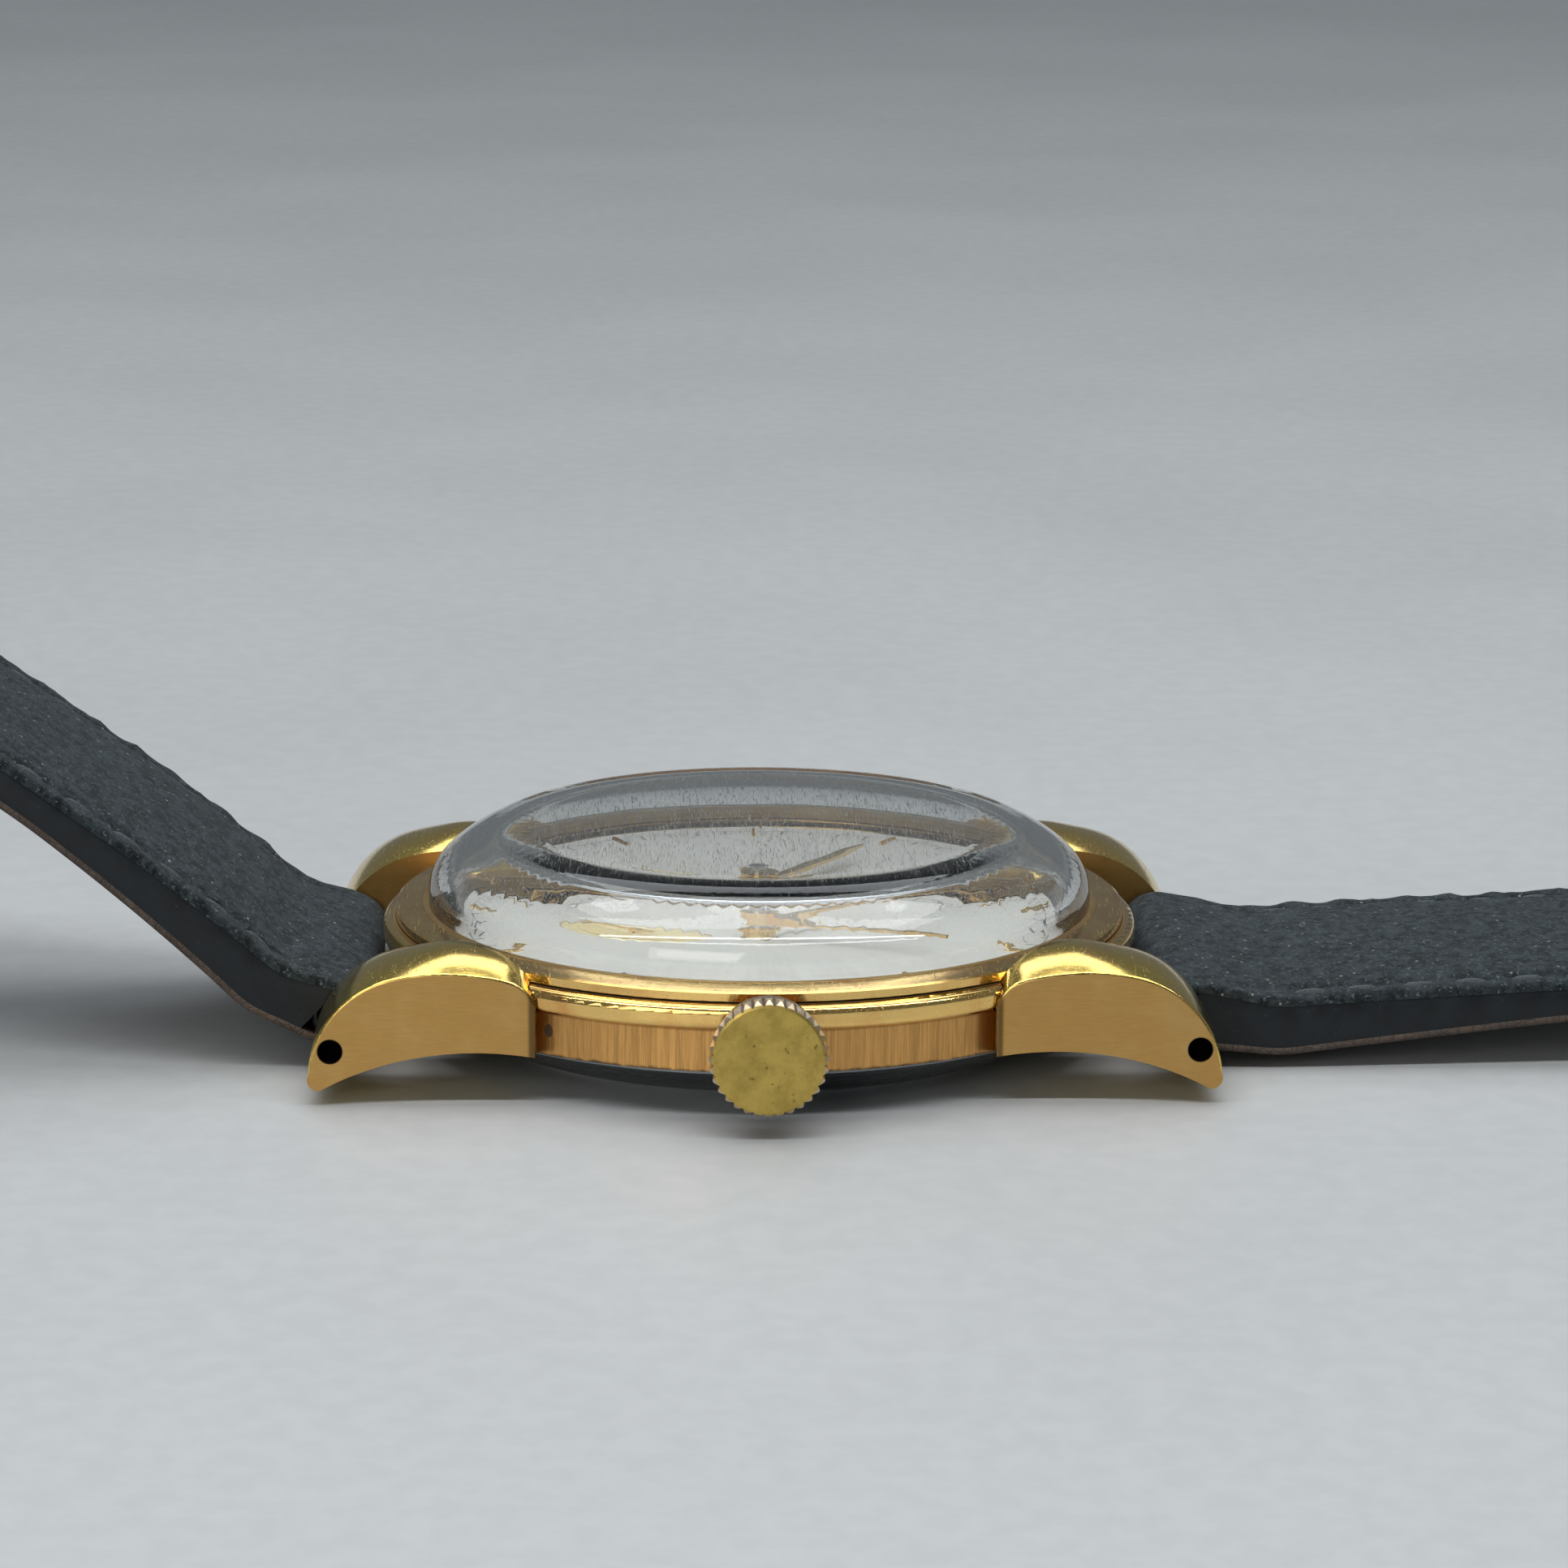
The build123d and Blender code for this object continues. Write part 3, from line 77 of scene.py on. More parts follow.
class Look:
    """One procedural material while it is being built."""

    def __init__(self, name):
        self.material = bpy.data.materials.new(name)
        self.material.use_nodes = True
        self.tree = self.material.node_tree
        self.shader = self.tree.nodes["Principled BSDF"]
        self.coordinates = self.tree.nodes.new("ShaderNodeTexCoord")
        self.millimetres = self.mapped(self.coordinates.outputs["Object"], scale=(1000, 1000, 1000))

    def new(self, kind, **settings):
        node = self.tree.nodes.new(kind)
        for key, value in settings.items():
            setattr(node, key, value)
        return node

    def feed(self, socket, value):
        if isinstance(value, bpy.types.NodeSocket):
            self.tree.links.new(value, socket)
        else:
            socket.default_value = value

    def set(self, **values):
        """Sets the shader's own sockets; names use _ for a space."""
        for key, value in values.items():
            self.feed(self.shader.inputs[key.replace("_", " ")], value)
        return self

    def mapped(self, vector, scale=(1, 1, 1), turn=(0, 0, 0), shift=(0, 0, 0)):
        node = self.new("ShaderNodeMapping")
        self.feed(node.inputs["Vector"], vector)
        node.inputs["Scale"].default_value = scale
        node.inputs["Rotation"].default_value = [radians(a) for a in turn]
        node.inputs["Location"].default_value = shift
        return node.outputs["Vector"]

    def noise(self, scale=1.0, vector=None, detail=3.0, roughness=0.55, distortion=0.0):
        node = self.new("ShaderNodeTexNoise")
        self.feed(node.inputs["Vector"], vector or self.millimetres)
        node.inputs["Scale"].default_value = scale
        node.inputs["Detail"].default_value = detail
        node.inputs["Roughness"].default_value = roughness
        node.inputs["Distortion"].default_value = distortion
        return node.outputs["Fac"]

    def cells(self, scale, vector=None, feature="F1", output="Distance"):
        node = self.new("ShaderNodeTexVoronoi", feature=feature)
        self.feed(node.inputs["Vector"], vector or self.millimetres)
        node.inputs["Scale"].default_value = scale
        return node.outputs[output]

    def math(self, operation, first, second=0.0, third=0.0, clamp=False):
        node = self.new("ShaderNodeMath", operation=operation, use_clamp=clamp)
        for socket, value in zip(node.inputs, (first, second, third)):
            self.feed(socket, value)
        return node.outputs[0]

    def times(self, first, second):
        return self.math("MULTIPLY", first, second)

    def plus(self, first, second):
        return self.math("ADD", first, second)

    def less(self, first, second):
        return self.math("SUBTRACT", first, second)

    def most(self, first, second):
        return self.math("MAXIMUM", first, second)

    def hypotenuse(self, first, second):
        return self.math("SQRT", self.plus(self.times(first, first), self.times(second, second)))

    def ramp(self, factor, low, high, start=0.0, end=1.0):
        node = self.new("ShaderNodeMapRange", interpolation_type="SMOOTHSTEP")
        self.feed(node.inputs["Value"], factor)
        node.inputs["From Min"].default_value = low
        node.inputs["From Max"].default_value = high
        node.inputs["To Min"].default_value = start
        node.inputs["To Max"].default_value = end
        return node.outputs["Result"]

    def blend(self, factor, first, second):
        node = self.new("ShaderNodeMix", data_type="RGBA")
        self.feed(node.inputs[0], factor)
        self.feed(node.inputs[6], first if isinstance(first, bpy.types.NodeSocket) else (*first, 1))
        self.feed(node.inputs[7], second if isinstance(second, bpy.types.NodeSocket) else (*second, 1))
        return node.outputs[2]

    def axes(self, vector=None):
        node = self.new("ShaderNodeSeparateXYZ")
        self.feed(node.inputs[0], vector or self.millimetres)
        return node.outputs

    def joined(self, x, y, z):
        node = self.new("ShaderNodeCombineXYZ")
        for socket, value in zip(node.inputs, (x, y, z)):
            self.feed(socket, value)
        return node.outputs[0]

    def round_z(self, middle=(0.0, 0.0)):
        """Radius, angle and height of a point about an upright axis, in millimetres and radians."""
        x, y, z = self.axes()
        x = self.less(x, middle[0])
        y = self.less(y, middle[1])
        radius = self.hypotenuse(x, y)
        return radius, self.math("ARCTAN2", y, x), z

    def bump(self, height, strength=0.3, distance=0.05):
        """Adds a bump over the ones already there; distance in millimetres."""
        node = self.new("ShaderNodeBump")
        node.inputs["Strength"].default_value = strength
        node.inputs["Distance"].default_value = distance * MM
        self.feed(node.inputs["Height"], height)
        normal = self.shader.inputs["Normal"]
        if normal.is_linked:
            self.feed(node.inputs["Normal"], normal.links[0].from_socket)
        self.feed(normal, node.outputs["Normal"])
        return self

    def scratches(self, amount=1.0, length=3.0, fineness=14.0):
        """Thin hairlines in four directions, as a value from 0 to 1."""
        total = None
        for turn in ((10, 20, 25), (75, -30, 100), (-40, 65, 160), (120, 10, -50)):
            scale = (1 / length, fineness, fineness)
            stretched = self.mapped(self.millimetres, scale=scale, turn=turn, shift=turn)
            line = self.ramp(self.noise(1.0, stretched, detail=1.0, distortion=0.25), 0.70, 0.78)
            total = line if total is None else self.most(total, line)
        return self.times(total, amount)

    def line(self, radius, at, half_width):
        """1 on a printed circle of this radius, else 0."""
        off = self.math("ABSOLUTE", self.less(radius, at))
        return self.ramp(off, half_width, half_width * 0.6)

    def track(self, radius, angle, inner, outer, count, half_width):
        """1 on radial ticks between two radii, else 0."""
        middle = (inner + outer) / 2
        turn = self.math("FRACT", self.plus(self.times(angle, count / (2 * pi)), 0.5))
        aside = self.math("ABSOLUTE", self.less(turn, 0.5))
        tick = self.ramp(self.times(aside, 2 * pi * middle / count), half_width, half_width * 0.6)
        past_inner = self.ramp(radius, inner - 0.02, inner + 0.02)
        before_outer = self.ramp(radius, outer + 0.02, outer - 0.02)
        return self.times(tick, self.times(past_inner, before_outer))


def metal(name, color, roughness, grain=6.0, spread=0.08, wear=0.25):
    """A worn metal: uneven polish, faint colour drift and hairlines."""
    look = Look(name)
    cloud = look.noise(0.35, detail=4)
    tint = look.blend(look.ramp(cloud, 0.35, 0.7), color, [c * 0.86 for c in color])
    fine = look.noise(grain, detail=3)
    lines = look.scratches(wear)
    rough = look.plus(look.ramp(fine, 0.3, 0.75, roughness - spread / 2, roughness + spread), lines)
    look.set(Base_Color=tint, Metallic=1.0, Roughness=rough)
    look.bump(fine, 0.08, 0.02)
    look.bump(lines, 0.35, 0.01)
    return look


def brushed_metal(name, color, roughness, vector_scale, depth=0.5):
    """Metal with parallel brush lines; vector_scale is lines per millimetre along each axis."""
    look = Look(name)
    stretched = look.mapped(look.millimetres, scale=vector_scale)
    lines = look.noise(1.0, stretched, detail=4, roughness=0.7)
    cloud = look.noise(0.3, detail=3)
    tint = look.blend(look.ramp(lines, 0.3, 0.7), [c * 0.80 for c in color], color)
    tint = look.blend(look.ramp(cloud, 0.4, 0.8, 0.0, 0.3), tint, [c * 0.75 for c in color])
    rough = look.ramp(lines, 0.25, 0.75, roughness - 0.08, roughness + 0.1)
    look.set(Base_Color=tint, Metallic=1.0, Roughness=rough)
    look.bump(lines, depth, 0.02)
    return look


GOLD_ROSE = (0.80, 0.43, 0.14)
GOLD_POLISHED = (0.93, 0.62, 0.21)
# Paler lemon copy of the polished gold: painted highlight on the lugs' rounding.
LIT_LEMON_GOLD = (0.94, 0.68, 0.17)
# Darker brown copy of the gold for the lugs' satin flats: painted shade.
SHADED_SATIN_GOLD = (0.60, 0.35, 0.11)
# Dark brown for painted shade, painted shadow and painted dark reflection, and for a small pit in the
# case band.
DARK_BROWN = (0.10, 0.055, 0.025)


def case_gold():
    """Brushed band below, polished step above, painted shadow in the corner between them, painted shade
    at the band's foot and in the groove under the bezel, and a small dark pit.
    """
    look = Look("case_gold")
    radius, angle, height = look.round_z()
    around = look.times(angle, 17.45)
    streaks = look.joined(look.times(around, 7.0), look.times(height, 0.22), radius)
    brush = look.noise(1.0, streaks, detail=4, roughness=0.75)
    polished = look.ramp(height, 4.33, 4.37)
    band = look.blend(look.ramp(brush, 0.30, 0.70), [c * 0.62 for c in GOLD_ROSE], GOLD_ROSE)
    cloud = look.noise(0.5, detail=4)
    bright = look.blend(look.ramp(cloud, 0.4, 0.75), GOLD_POLISHED, GOLD_ROSE)
    tint = look.blend(polished, band, bright)
    # Painted shade along the band's lower edge, ragged with noise.
    ragged = look.plus(height, look.times(look.noise(1.6, detail=4), 0.35))
    lower_shade = look.ramp(ragged, 2.62, 2.45)
    # Painted shadow in the corner under the polished step's overhang.
    corner = look.times(look.ramp(height, 4.16, 4.34), look.ramp(height, 4.37, 4.35))
    painted_dark = look.most(lower_shade, look.times(corner, 0.8))
    # Painted shade in the groove beneath the bezel.
    groove = look.times(look.ramp(height, 5.50, 5.55), look.ramp(radius, 17.62, 17.50))
    painted_dark = look.most(painted_dark, groove)
    x, y, z = look.axes()
    aside = look.math("DIVIDE", look.less(y, -9.95), 0.20)
    up = look.math("DIVIDE", look.less(z, 3.45), 0.32)
    pit = look.plus(look.times(aside, aside), look.times(up, up))
    pit = look.times(look.ramp(pit, 1.3, 0.8), look.ramp(x, 13.0, 13.5))
    painted_dark = look.most(painted_dark, pit)
    # Lays the painted shade, the painted shadow and the small pit on in dark brown.
    tint = look.blend(painted_dark, tint, DARK_BROWN)
    lines = look.scratches(1.0, length=4.0)
    rough = look.plus(look.ramp(height, 4.33, 4.37, 0.34, 0.13), look.times(lines, 0.16))
    rough = look.plus(rough, look.times(painted_dark, 0.4))
    look.set(Base_Color=tint, Metallic=look.less(1.0, look.times(painted_dark, 0.6)), Roughness=rough)
    look.bump(look.times(brush, look.less(1.0, polished)), 0.55, 0.03)
    look.bump(look.noise(1.1, detail=2), 0.10, 0.05)
    look.bump(lines, 0.5, 0.012)
    return look


def bezel_gold():
    """Mirror-polished, dented and scratched, painted shade in the groove beneath and beside the crystal.
    """
    look = Look("bezel_gold")
    radius, angle, height = look.round_z()
    cloud = look.noise(0.45, detail=4)
    tint = look.blend(look.ramp(cloud, 0.4, 0.75), GOLD_POLISHED, GOLD_ROSE)
    # Painted shade at the bezel's foot and along its inner edge beside the crystal.
    low_shade = look.ramp(look.plus(height, look.times(look.noise(2.0), 0.06)), 5.70, 5.64)
    inner_shade = look.ramp(radius, 16.32, 16.18)
    painted_dark = look.most(low_shade, look.times(inner_shade, 0.55))
    lines = look.scratches(1.0, length=2.5)
    rough = look.plus(0.12, look.times(lines, 0.2))
    look.set(
        Base_Color=look.blend(painted_dark, tint, DARK_BROWN), Metallic=1.0,
        Roughness=look.plus(rough, look.times(painted_dark, 0.4)),
    )
    look.bump(look.noise(0.9, detail=2), 0.10, 0.06)
    look.bump(lines, 0.6, 0.012)
    return look


def lug_gold():
    """Satin flats in a darker brown copy of the gold (painted shade); polished rounding everywhere the
    lug turns over in a paler lemon copy (painted highlight).
    """
    look = Look("lug_gold")
    across = look.math("ABSOLUTE", look.axes(look.coordinates.outputs["Normal"])[0])
    flat = look.ramp(across, 0.90, 0.985)
    stretched = look.mapped(look.millimetres, scale=(3, 1.2, 16), turn=(12, 0, 0))
    satin = look.noise(1.0, stretched, detail=4, roughness=0.7)
    # Painted shade: the satin flats take the darker brown copy of the gold.
    flat_tint = look.blend(look.ramp(satin, 0.3, 0.72), [c * 0.90 for c in SHADED_SATIN_GOLD], SHADED_SATIN_GOLD)
    cloud = look.noise(0.4, detail=3)
    flat_tint = look.blend(look.ramp(cloud, 0.45, 0.8, 0.0, 0.5), flat_tint, (0.66, 0.44, 0.18))
    # Painted highlight: the polished rounding takes the paler lemon copy.
    round_tint = look.blend(look.ramp(cloud, 0.4, 0.75), LIT_LEMON_GOLD, GOLD_POLISHED)
    y, z = look.axes()[1:3]
    # Painted dark reflection, patchy, where the flat turns into the polished rounding.
    edge_dark_reflection = look.times(look.ramp(across, 0.80, 0.90), look.ramp(across, 0.985, 0.93))
    edge_dark_reflection = look.times(edge_dark_reflection, look.ramp(look.noise(1.4, detail=3), 0.45, 0.6, 0.0, 0.55))
    root = look.math("ABSOLUTE", y)
    # Painted shade where the lug meets the case.
    seam = look.times(look.ramp(root, 10.95, 10.75), 0.8)
    # Painted shade: the spring-bar hole painted near black.
    aside = look.less(look.math("ABSOLUTE", y), BAR_Y)
    up = look.less(z, BAR_Z)
    reach = look.hypotenuse(aside, up)
    bore_shade = look.ramp(reach, 0.62, 0.56)
    painted_dark = look.most(edge_dark_reflection, seam)
    lines = look.scratches(1.0, length=2.0, fineness=16.0)
    rough = look.plus(look.ramp(flat, 0.0, 1.0, 0.14, 0.36), look.times(lines, 0.10))
    tint = look.blend(painted_dark, look.blend(flat, round_tint, flat_tint), DARK_BROWN)
    look.set(Base_Color=look.blend(bore_shade, tint, (0.012, 0.010, 0.008)), Metallic=1.0)
    look.set(Roughness=look.most(rough, look.times(bore_shade, 0.6)))
    look.bump(satin, 0.20, 0.015)
    look.bump(look.noise(0.8, detail=2), 0.12, 0.06)
    look.bump(lines, 0.45, 0.012)
    return look


def crown_brass():
    """Worn satin face rubbed to olive brass, painted paler glints on the teeth, painted shade in the
    valleys between them.
    """
    look = Look("crown_brass")
    x, y, z = look.axes()
    up = look.less(z, 3.84)
    radius = look.hypotenuse(y, up)
    teeth = look.times(look.ramp(radius, 2.42, 2.52), look.ramp(x, 20.86, 20.80))
    teeth = look.most(teeth, look.ramp(x, 20.72, 20.60))
    stretched = look.mapped(look.millimetres, scale=(2, 11, 5), turn=(35, 0, 0))
    fine = look.noise(1.0, stretched, detail=5, roughness=0.75)
    cloud = look.noise(0.9, detail=5, roughness=0.65)
    face = look.blend(look.ramp(cloud, 0.35, 0.7), (0.60, 0.43, 0.11), (0.44, 0.31, 0.075))
    face = look.blend(look.ramp(fine, 0.55, 0.8, 0.0, 0.6), face, (0.74, 0.57, 0.22))
    specks = look.ramp(look.noise(3.2, detail=4), 0.64, 0.72)
    face = look.blend(look.times(specks, 0.7), face, (0.12, 0.08, 0.03))
    # Painted highlight: the teeth paler than the face.
    tint = look.blend(teeth, face, (0.74, 0.60, 0.42))
    # Painted shade in the valleys between the teeth.
    root_shade = look.ramp(radius, 2.60, 2.50)
    tint = look.blend(look.times(teeth, look.times(root_shade, 0.85)), tint, DARK_BROWN)
    lines = look.scratches(1.0, length=1.2, fineness=22.0)
    rough = look.plus(look.ramp(cloud, 0.3, 0.7, 0.30, 0.42), look.times(lines, 0.10))
    look.set(Base_Color=tint, Metallic=1.0, Roughness=rough)
    look.bump(fine, 0.35, 0.015)
    look.bump(cloud, 0.15, 0.06)
    look.bump(lines, 0.6, 0.012)
    return look


def back_steel():
    """Circular-brushed cover, painted dark reflection over its flank and snap joint, painted highlight
    on the resting rim.
    """
    look = Look("back_steel")
    radius, angle, height = look.round_z()
    polar = look.joined(look.times(radius, 9.0), look.times(angle, 1.5), 0.0)
    rings = look.noise(1.0, polar, detail=4)
    tint = look.blend(look.ramp(rings, 0.3, 0.7), (0.40, 0.41, 0.42), (0.60, 0.61, 0.62))
    # Painted highlight: a pale ring at the resting rim.
    rim = look.times(look.ramp(radius, 12.85, 12.95), look.ramp(radius, 13.35, 13.2))
    # Painted dark reflection over the flank outside the rim.
    flank_dark_reflection = look.ramp(radius, 13.3, 13.6)
    tint = look.blend(look.times(flank_dark_reflection, 0.75), tint, (0.10, 0.11, 0.12))
    tint = look.blend(rim, tint, (0.78, 0.79, 0.80))
    lines = look.scratches(1.0, length=5.0, fineness=10.0)
    rough = look.plus(look.ramp(rings, 0.2, 0.8, 0.22, 0.34), look.times(lines, 0.12))
    look.set(Base_Color=tint, Metallic=1.0, Roughness=rough)
    look.bump(rings, 0.25, 0.01)
    look.bump(lines, 0.5, 0.012)
    return look


def crystal_acrylic():
    """Clear acrylic with fine wear; lamps pass through it to what it covers."""
    look = Look("crystal_acrylic")
    lines = look.scratches(1.0, length=1.6, fineness=20.0)
    haze = look.noise(0.5, detail=4)
    rough = look.plus(look.ramp(haze, 0.4, 0.8, 0.0, 0.025), look.times(lines, 0.05))
    look.set(Base_Color=(0.97, 0.985, 0.98, 1), Roughness=rough, IOR=1.49)
    look.set(Transmission_Weight=1.0)
    look.bump(lines, 0.35, 0.006)
    look.bump(look.noise(0.25, detail=1), 0.05, 0.05)
    clear = look.new("ShaderNodeBsdfTransparent")
    clear.inputs["Color"].default_value = (0.94, 0.95, 0.945, 1)
    ray = look.new("ShaderNodeLightPath")
    choice = look.new("ShaderNodeMixShader")
    look.feed(choice.inputs[0], ray.outputs["Is Shadow Ray"])
    look.feed(choice.inputs[1], look.shader.outputs[0])
    look.feed(choice.inputs[2], clear.outputs[0])
    output = look.tree.nodes["Material Output"]
    look.feed(output.inputs["Surface"], choice.outputs[0])
    return look


def dial_silver():
    """Silvered dial: faint sunburst, minute track, cream small-seconds circle with its own track."""
    look = Look("dial_silver")
    radius, angle, height = look.round_z()
    polar = look.joined(look.times(angle, 60.0), look.times(radius, 0.15), 0.0)
    rays = look.noise(1.0, polar, detail=3)
    tint = look.blend(look.ramp(rays, 0.3, 0.7), (0.30, 0.30, 0.29), (0.345, 0.345, 0.33))
    small, small_angle, _ = look.round_z((0.0, -5.9))
    inside = look.ramp(small, 3.72, 3.66)
    rings = look.math("SINE", look.times(small, 2 * pi / 0.16))
    cream = look.blend(look.ramp(rings, -1.0, 1.0), (0.36, 0.30, 0.16), (0.41, 0.35, 0.20))
    tint = look.blend(inside, tint, cream)
    ticks = look.track(radius, angle, 13.35, 13.95, 60, 0.085)
    small_ticks = look.track(small, small_angle, 3.10, 3.52, 12, 0.05)
    edge = look.line(small, 3.58, 0.035)
    rail = look.line(radius, 13.98, 0.035)
    ink = look.most(look.most(ticks, small_ticks), look.most(edge, rail))
    spots = look.times(look.ramp(look.noise(1.3, detail=5, roughness=0.7), 0.68, 0.78), 0.5)
    tint = look.blend(spots, tint, (0.45, 0.38, 0.26))
    tint = look.blend(ink, tint, (0.06, 0.06, 0.065))
    look.set(Base_Color=tint, Roughness=look.ramp(rays, 0.2, 0.8, 0.48, 0.58))
    look.set(Specular_IOR_Level=0.3)
    look.bump(rays, 0.12, 0.01)
    look.bump(look.times(rings, inside), 0.15, 0.01)
    return look


def nubuck():
    """Dark slate napped leather: clumped nap, pale dusty flecks."""
    look = Look("nubuck")
    nap = look.noise(1.9, detail=6, roughness=0.75, distortion=0.4)
    clump = look.noise(0.9, detail=4, roughness=0.6)
    tint = look.blend(look.ramp(nap, 0.42, 0.62), (0.004, 0.006, 0.008), (0.036, 0.048, 0.054))
    tint = look.blend(look.ramp(clump, 0.42, 0.72, 0.0, 0.55), tint, (0.045, 0.060, 0.066))
    fibres = look.ramp(look.noise(5.0, detail=3, roughness=0.7), 0.58, 0.68, 0.0, 0.8)
    tint = look.blend(fibres, tint, (0.14, 0.175, 0.19))
    flecks = look.ramp(look.cells(1.1), 0.11, 0.05)
    tint = look.blend(look.times(flecks, 0.6), tint, (0.45, 0.45, 0.40))
    look.set(Base_Color=tint, Roughness=look.ramp(nap, 0.3, 0.7, 0.80, 0.96))
    look.set(Specular_IOR_Level=0.25, Sheen_Weight=0.12, Sheen_Roughness=0.5)
    look.set(Sheen_Tint=(0.62, 0.72, 0.80, 1))
    look.bump(nap, 0.9, 0.22)
    look.bump(look.noise(9.0, detail=3), 0.6, 0.05)
    return look


def painted_edge():
    """Edge paint: blue-black, half gloss, faint ripples along its length."""
    look = Look("painted_edge")
    ripple = look.noise(0.8, detail=3)
    tint = look.blend(look.ramp(ripple, 0.35, 0.7), (0.0025, 0.004, 0.006), (0.006, 0.010, 0.014))
    dust = look.times(look.ramp(look.noise(6.0, detail=4), 0.66, 0.76), 0.25)
    look.set(Base_Color=look.blend(dust, tint, (0.12, 0.14, 0.15)))
    look.set(Roughness=look.ramp(ripple, 0.3, 0.7, 0.38, 0.50))
    look.set(Specular_IOR_Level=0.35, Coat_Weight=0.05, Coat_Roughness=0.3)
    look.bump(ripple, 0.25, 0.08)
    look.bump(look.noise(5.0, detail=3), 0.15, 0.02)
    return look


def lining_leather():
    """Dark calf lining: pores and creases."""
    look = Look("lining_leather")
    pores = look.cells(2.2, feature="DISTANCE_TO_EDGE")
    creases = look.noise(0.7, detail=5, roughness=0.65, distortion=0.8)
    tint = look.blend(look.ramp(creases, 0.35, 0.7), (0.050, 0.036, 0.028), (0.090, 0.064, 0.048))
    tint = look.blend(look.ramp(pores, 0.08, 0.0, 0.0, 0.6), tint, (0.022, 0.016, 0.013))
    look.set(Base_Color=tint, Roughness=look.ramp(creases, 0.3, 0.7, 0.48, 0.66))
    look.set(Specular_IOR_Level=0.4)
    look.bump(look.ramp(pores, 0.0, 0.12), 0.5, 0.05)
    look.bump(creases, 0.35, 0.08)
    return look


def thread():
    """Waxed thread, tone on tone with the nap."""
    look = Look("thread")
    turned = look.mapped(look.millimetres, scale=(9, 9, 9), turn=(30, 40, 20))
    twist = look.noise(1.0, turned, detail=3)
    tint = look.blend(look.ramp(twist, 0.3, 0.7), (0.030, 0.038, 0.044), (0.085, 0.10, 0.11))
    look.set(Base_Color=tint)
    look.set(Roughness=look.ramp(twist, 0.3, 0.7, 0.55, 0.7))
    look.bump(twist, 0.8, 0.06)
    return look


def ruby():
    look = Look("ruby_stone")
    cloud = look.noise(2.0, detail=3)
    tint = look.blend(look.ramp(cloud, 0.3, 0.7), (0.60, 0.03, 0.10), (0.75, 0.08, 0.18))
    look.set(Base_Color=tint, Roughness=0.06, IOR=1.76, Transmission_Weight=0.35)
    look.bump(cloud, 0.05, 0.02)
    return look


def floor_paper():
    look = Look("floor_paper")
    fine = look.noise(0.6, detail=3)
    tint = look.blend(look.ramp(fine, 0.3, 0.7), (0.50, 0.52, 0.53), (0.53, 0.55, 0.56))
    look.set(Base_Color=tint)
    look.set(Roughness=look.ramp(look.noise(0.02, detail=4), 0.3, 0.7, 0.38, 0.5))
    look.set(Specular_IOR_Level=0.4)
    return look


# ---------------------------------------------------------------- mesh pieces

def make_piece(name, points, faces, look, body, slot, replaces=(), sharp=40):
    """A mesh object from millimetre points, carried by a body."""
    mesh = bpy.data.meshes.new(name)
    mesh.from_pydata([Vector(p) * MM for p in points], [], faces)
    work = bmesh.new()
    work.from_mesh(mesh)
    bmesh.ops.remove_doubles(work, verts=work.verts, dist=1e-7)
    bmesh.ops.recalc_face_normals(work, faces=work.faces)
    work.to_mesh(mesh)
    work.free()
    mesh.shade_smooth()
    piece = bpy.data.objects.new(name, mesh)
    bpy.context.scene.collection.objects.link(piece)
    mesh.set_sharp_from_angle(angle=radians(sharp))
    mesh.materials.append(look.material)
    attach(piece, body)
    if replaces:
        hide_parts(*replaces)
    return piece


def loft(rings, closed_path=False):
    """Faces joining rings of equal length; open ends are capped."""
    count = len(rings[0])
    points = [p for ring in rings for p in ring]
    faces = []
    spans = len(rings) if closed_path else len(rings) - 1
    for i in range(spans):
        first, second = i * count, ((i + 1) % len(rings)) * count
        for j in range(count):
            k = (j + 1) % count
            faces.append((first + j, first + k, second + k, second + j))
    if not closed_path:
        faces.append(tuple(range(count)))
        faces.append(tuple(range(len(points) - count, len(points))))
    return points, faces


def joined_meshes(parts):
    """One point list and face list from several."""
    points, faces = [], []
    for some_points, some_faces in parts:
        start = len(points)
        points += some_points
        faces += [tuple(i + start for i in face) for face in some_faces]
    return points, faces


# ---------------------------------------------------------------- the strap's shape

def walk(start, runs, distance):
    """Middle line point and heading, this far along the arcs."""
    across, height, angle = start
    for length, turn in runs:
        step = min(distance, length)
        bend = turn * step / length
        chord = step if abs(bend) < 1e-9 else step * sin(radians(bend / 2)) / radians(bend / 2)
        across += chord * cos(radians(angle + bend / 2))
        height += chord * sin(radians(angle + bend / 2))
        angle += bend
        distance -= step
        if distance <= 1e-9:
            break
    across += distance * cos(radians(angle)) * (distance > 0)
    height += distance * sin(radians(angle)) * (distance > 0)
    return across, height, angle


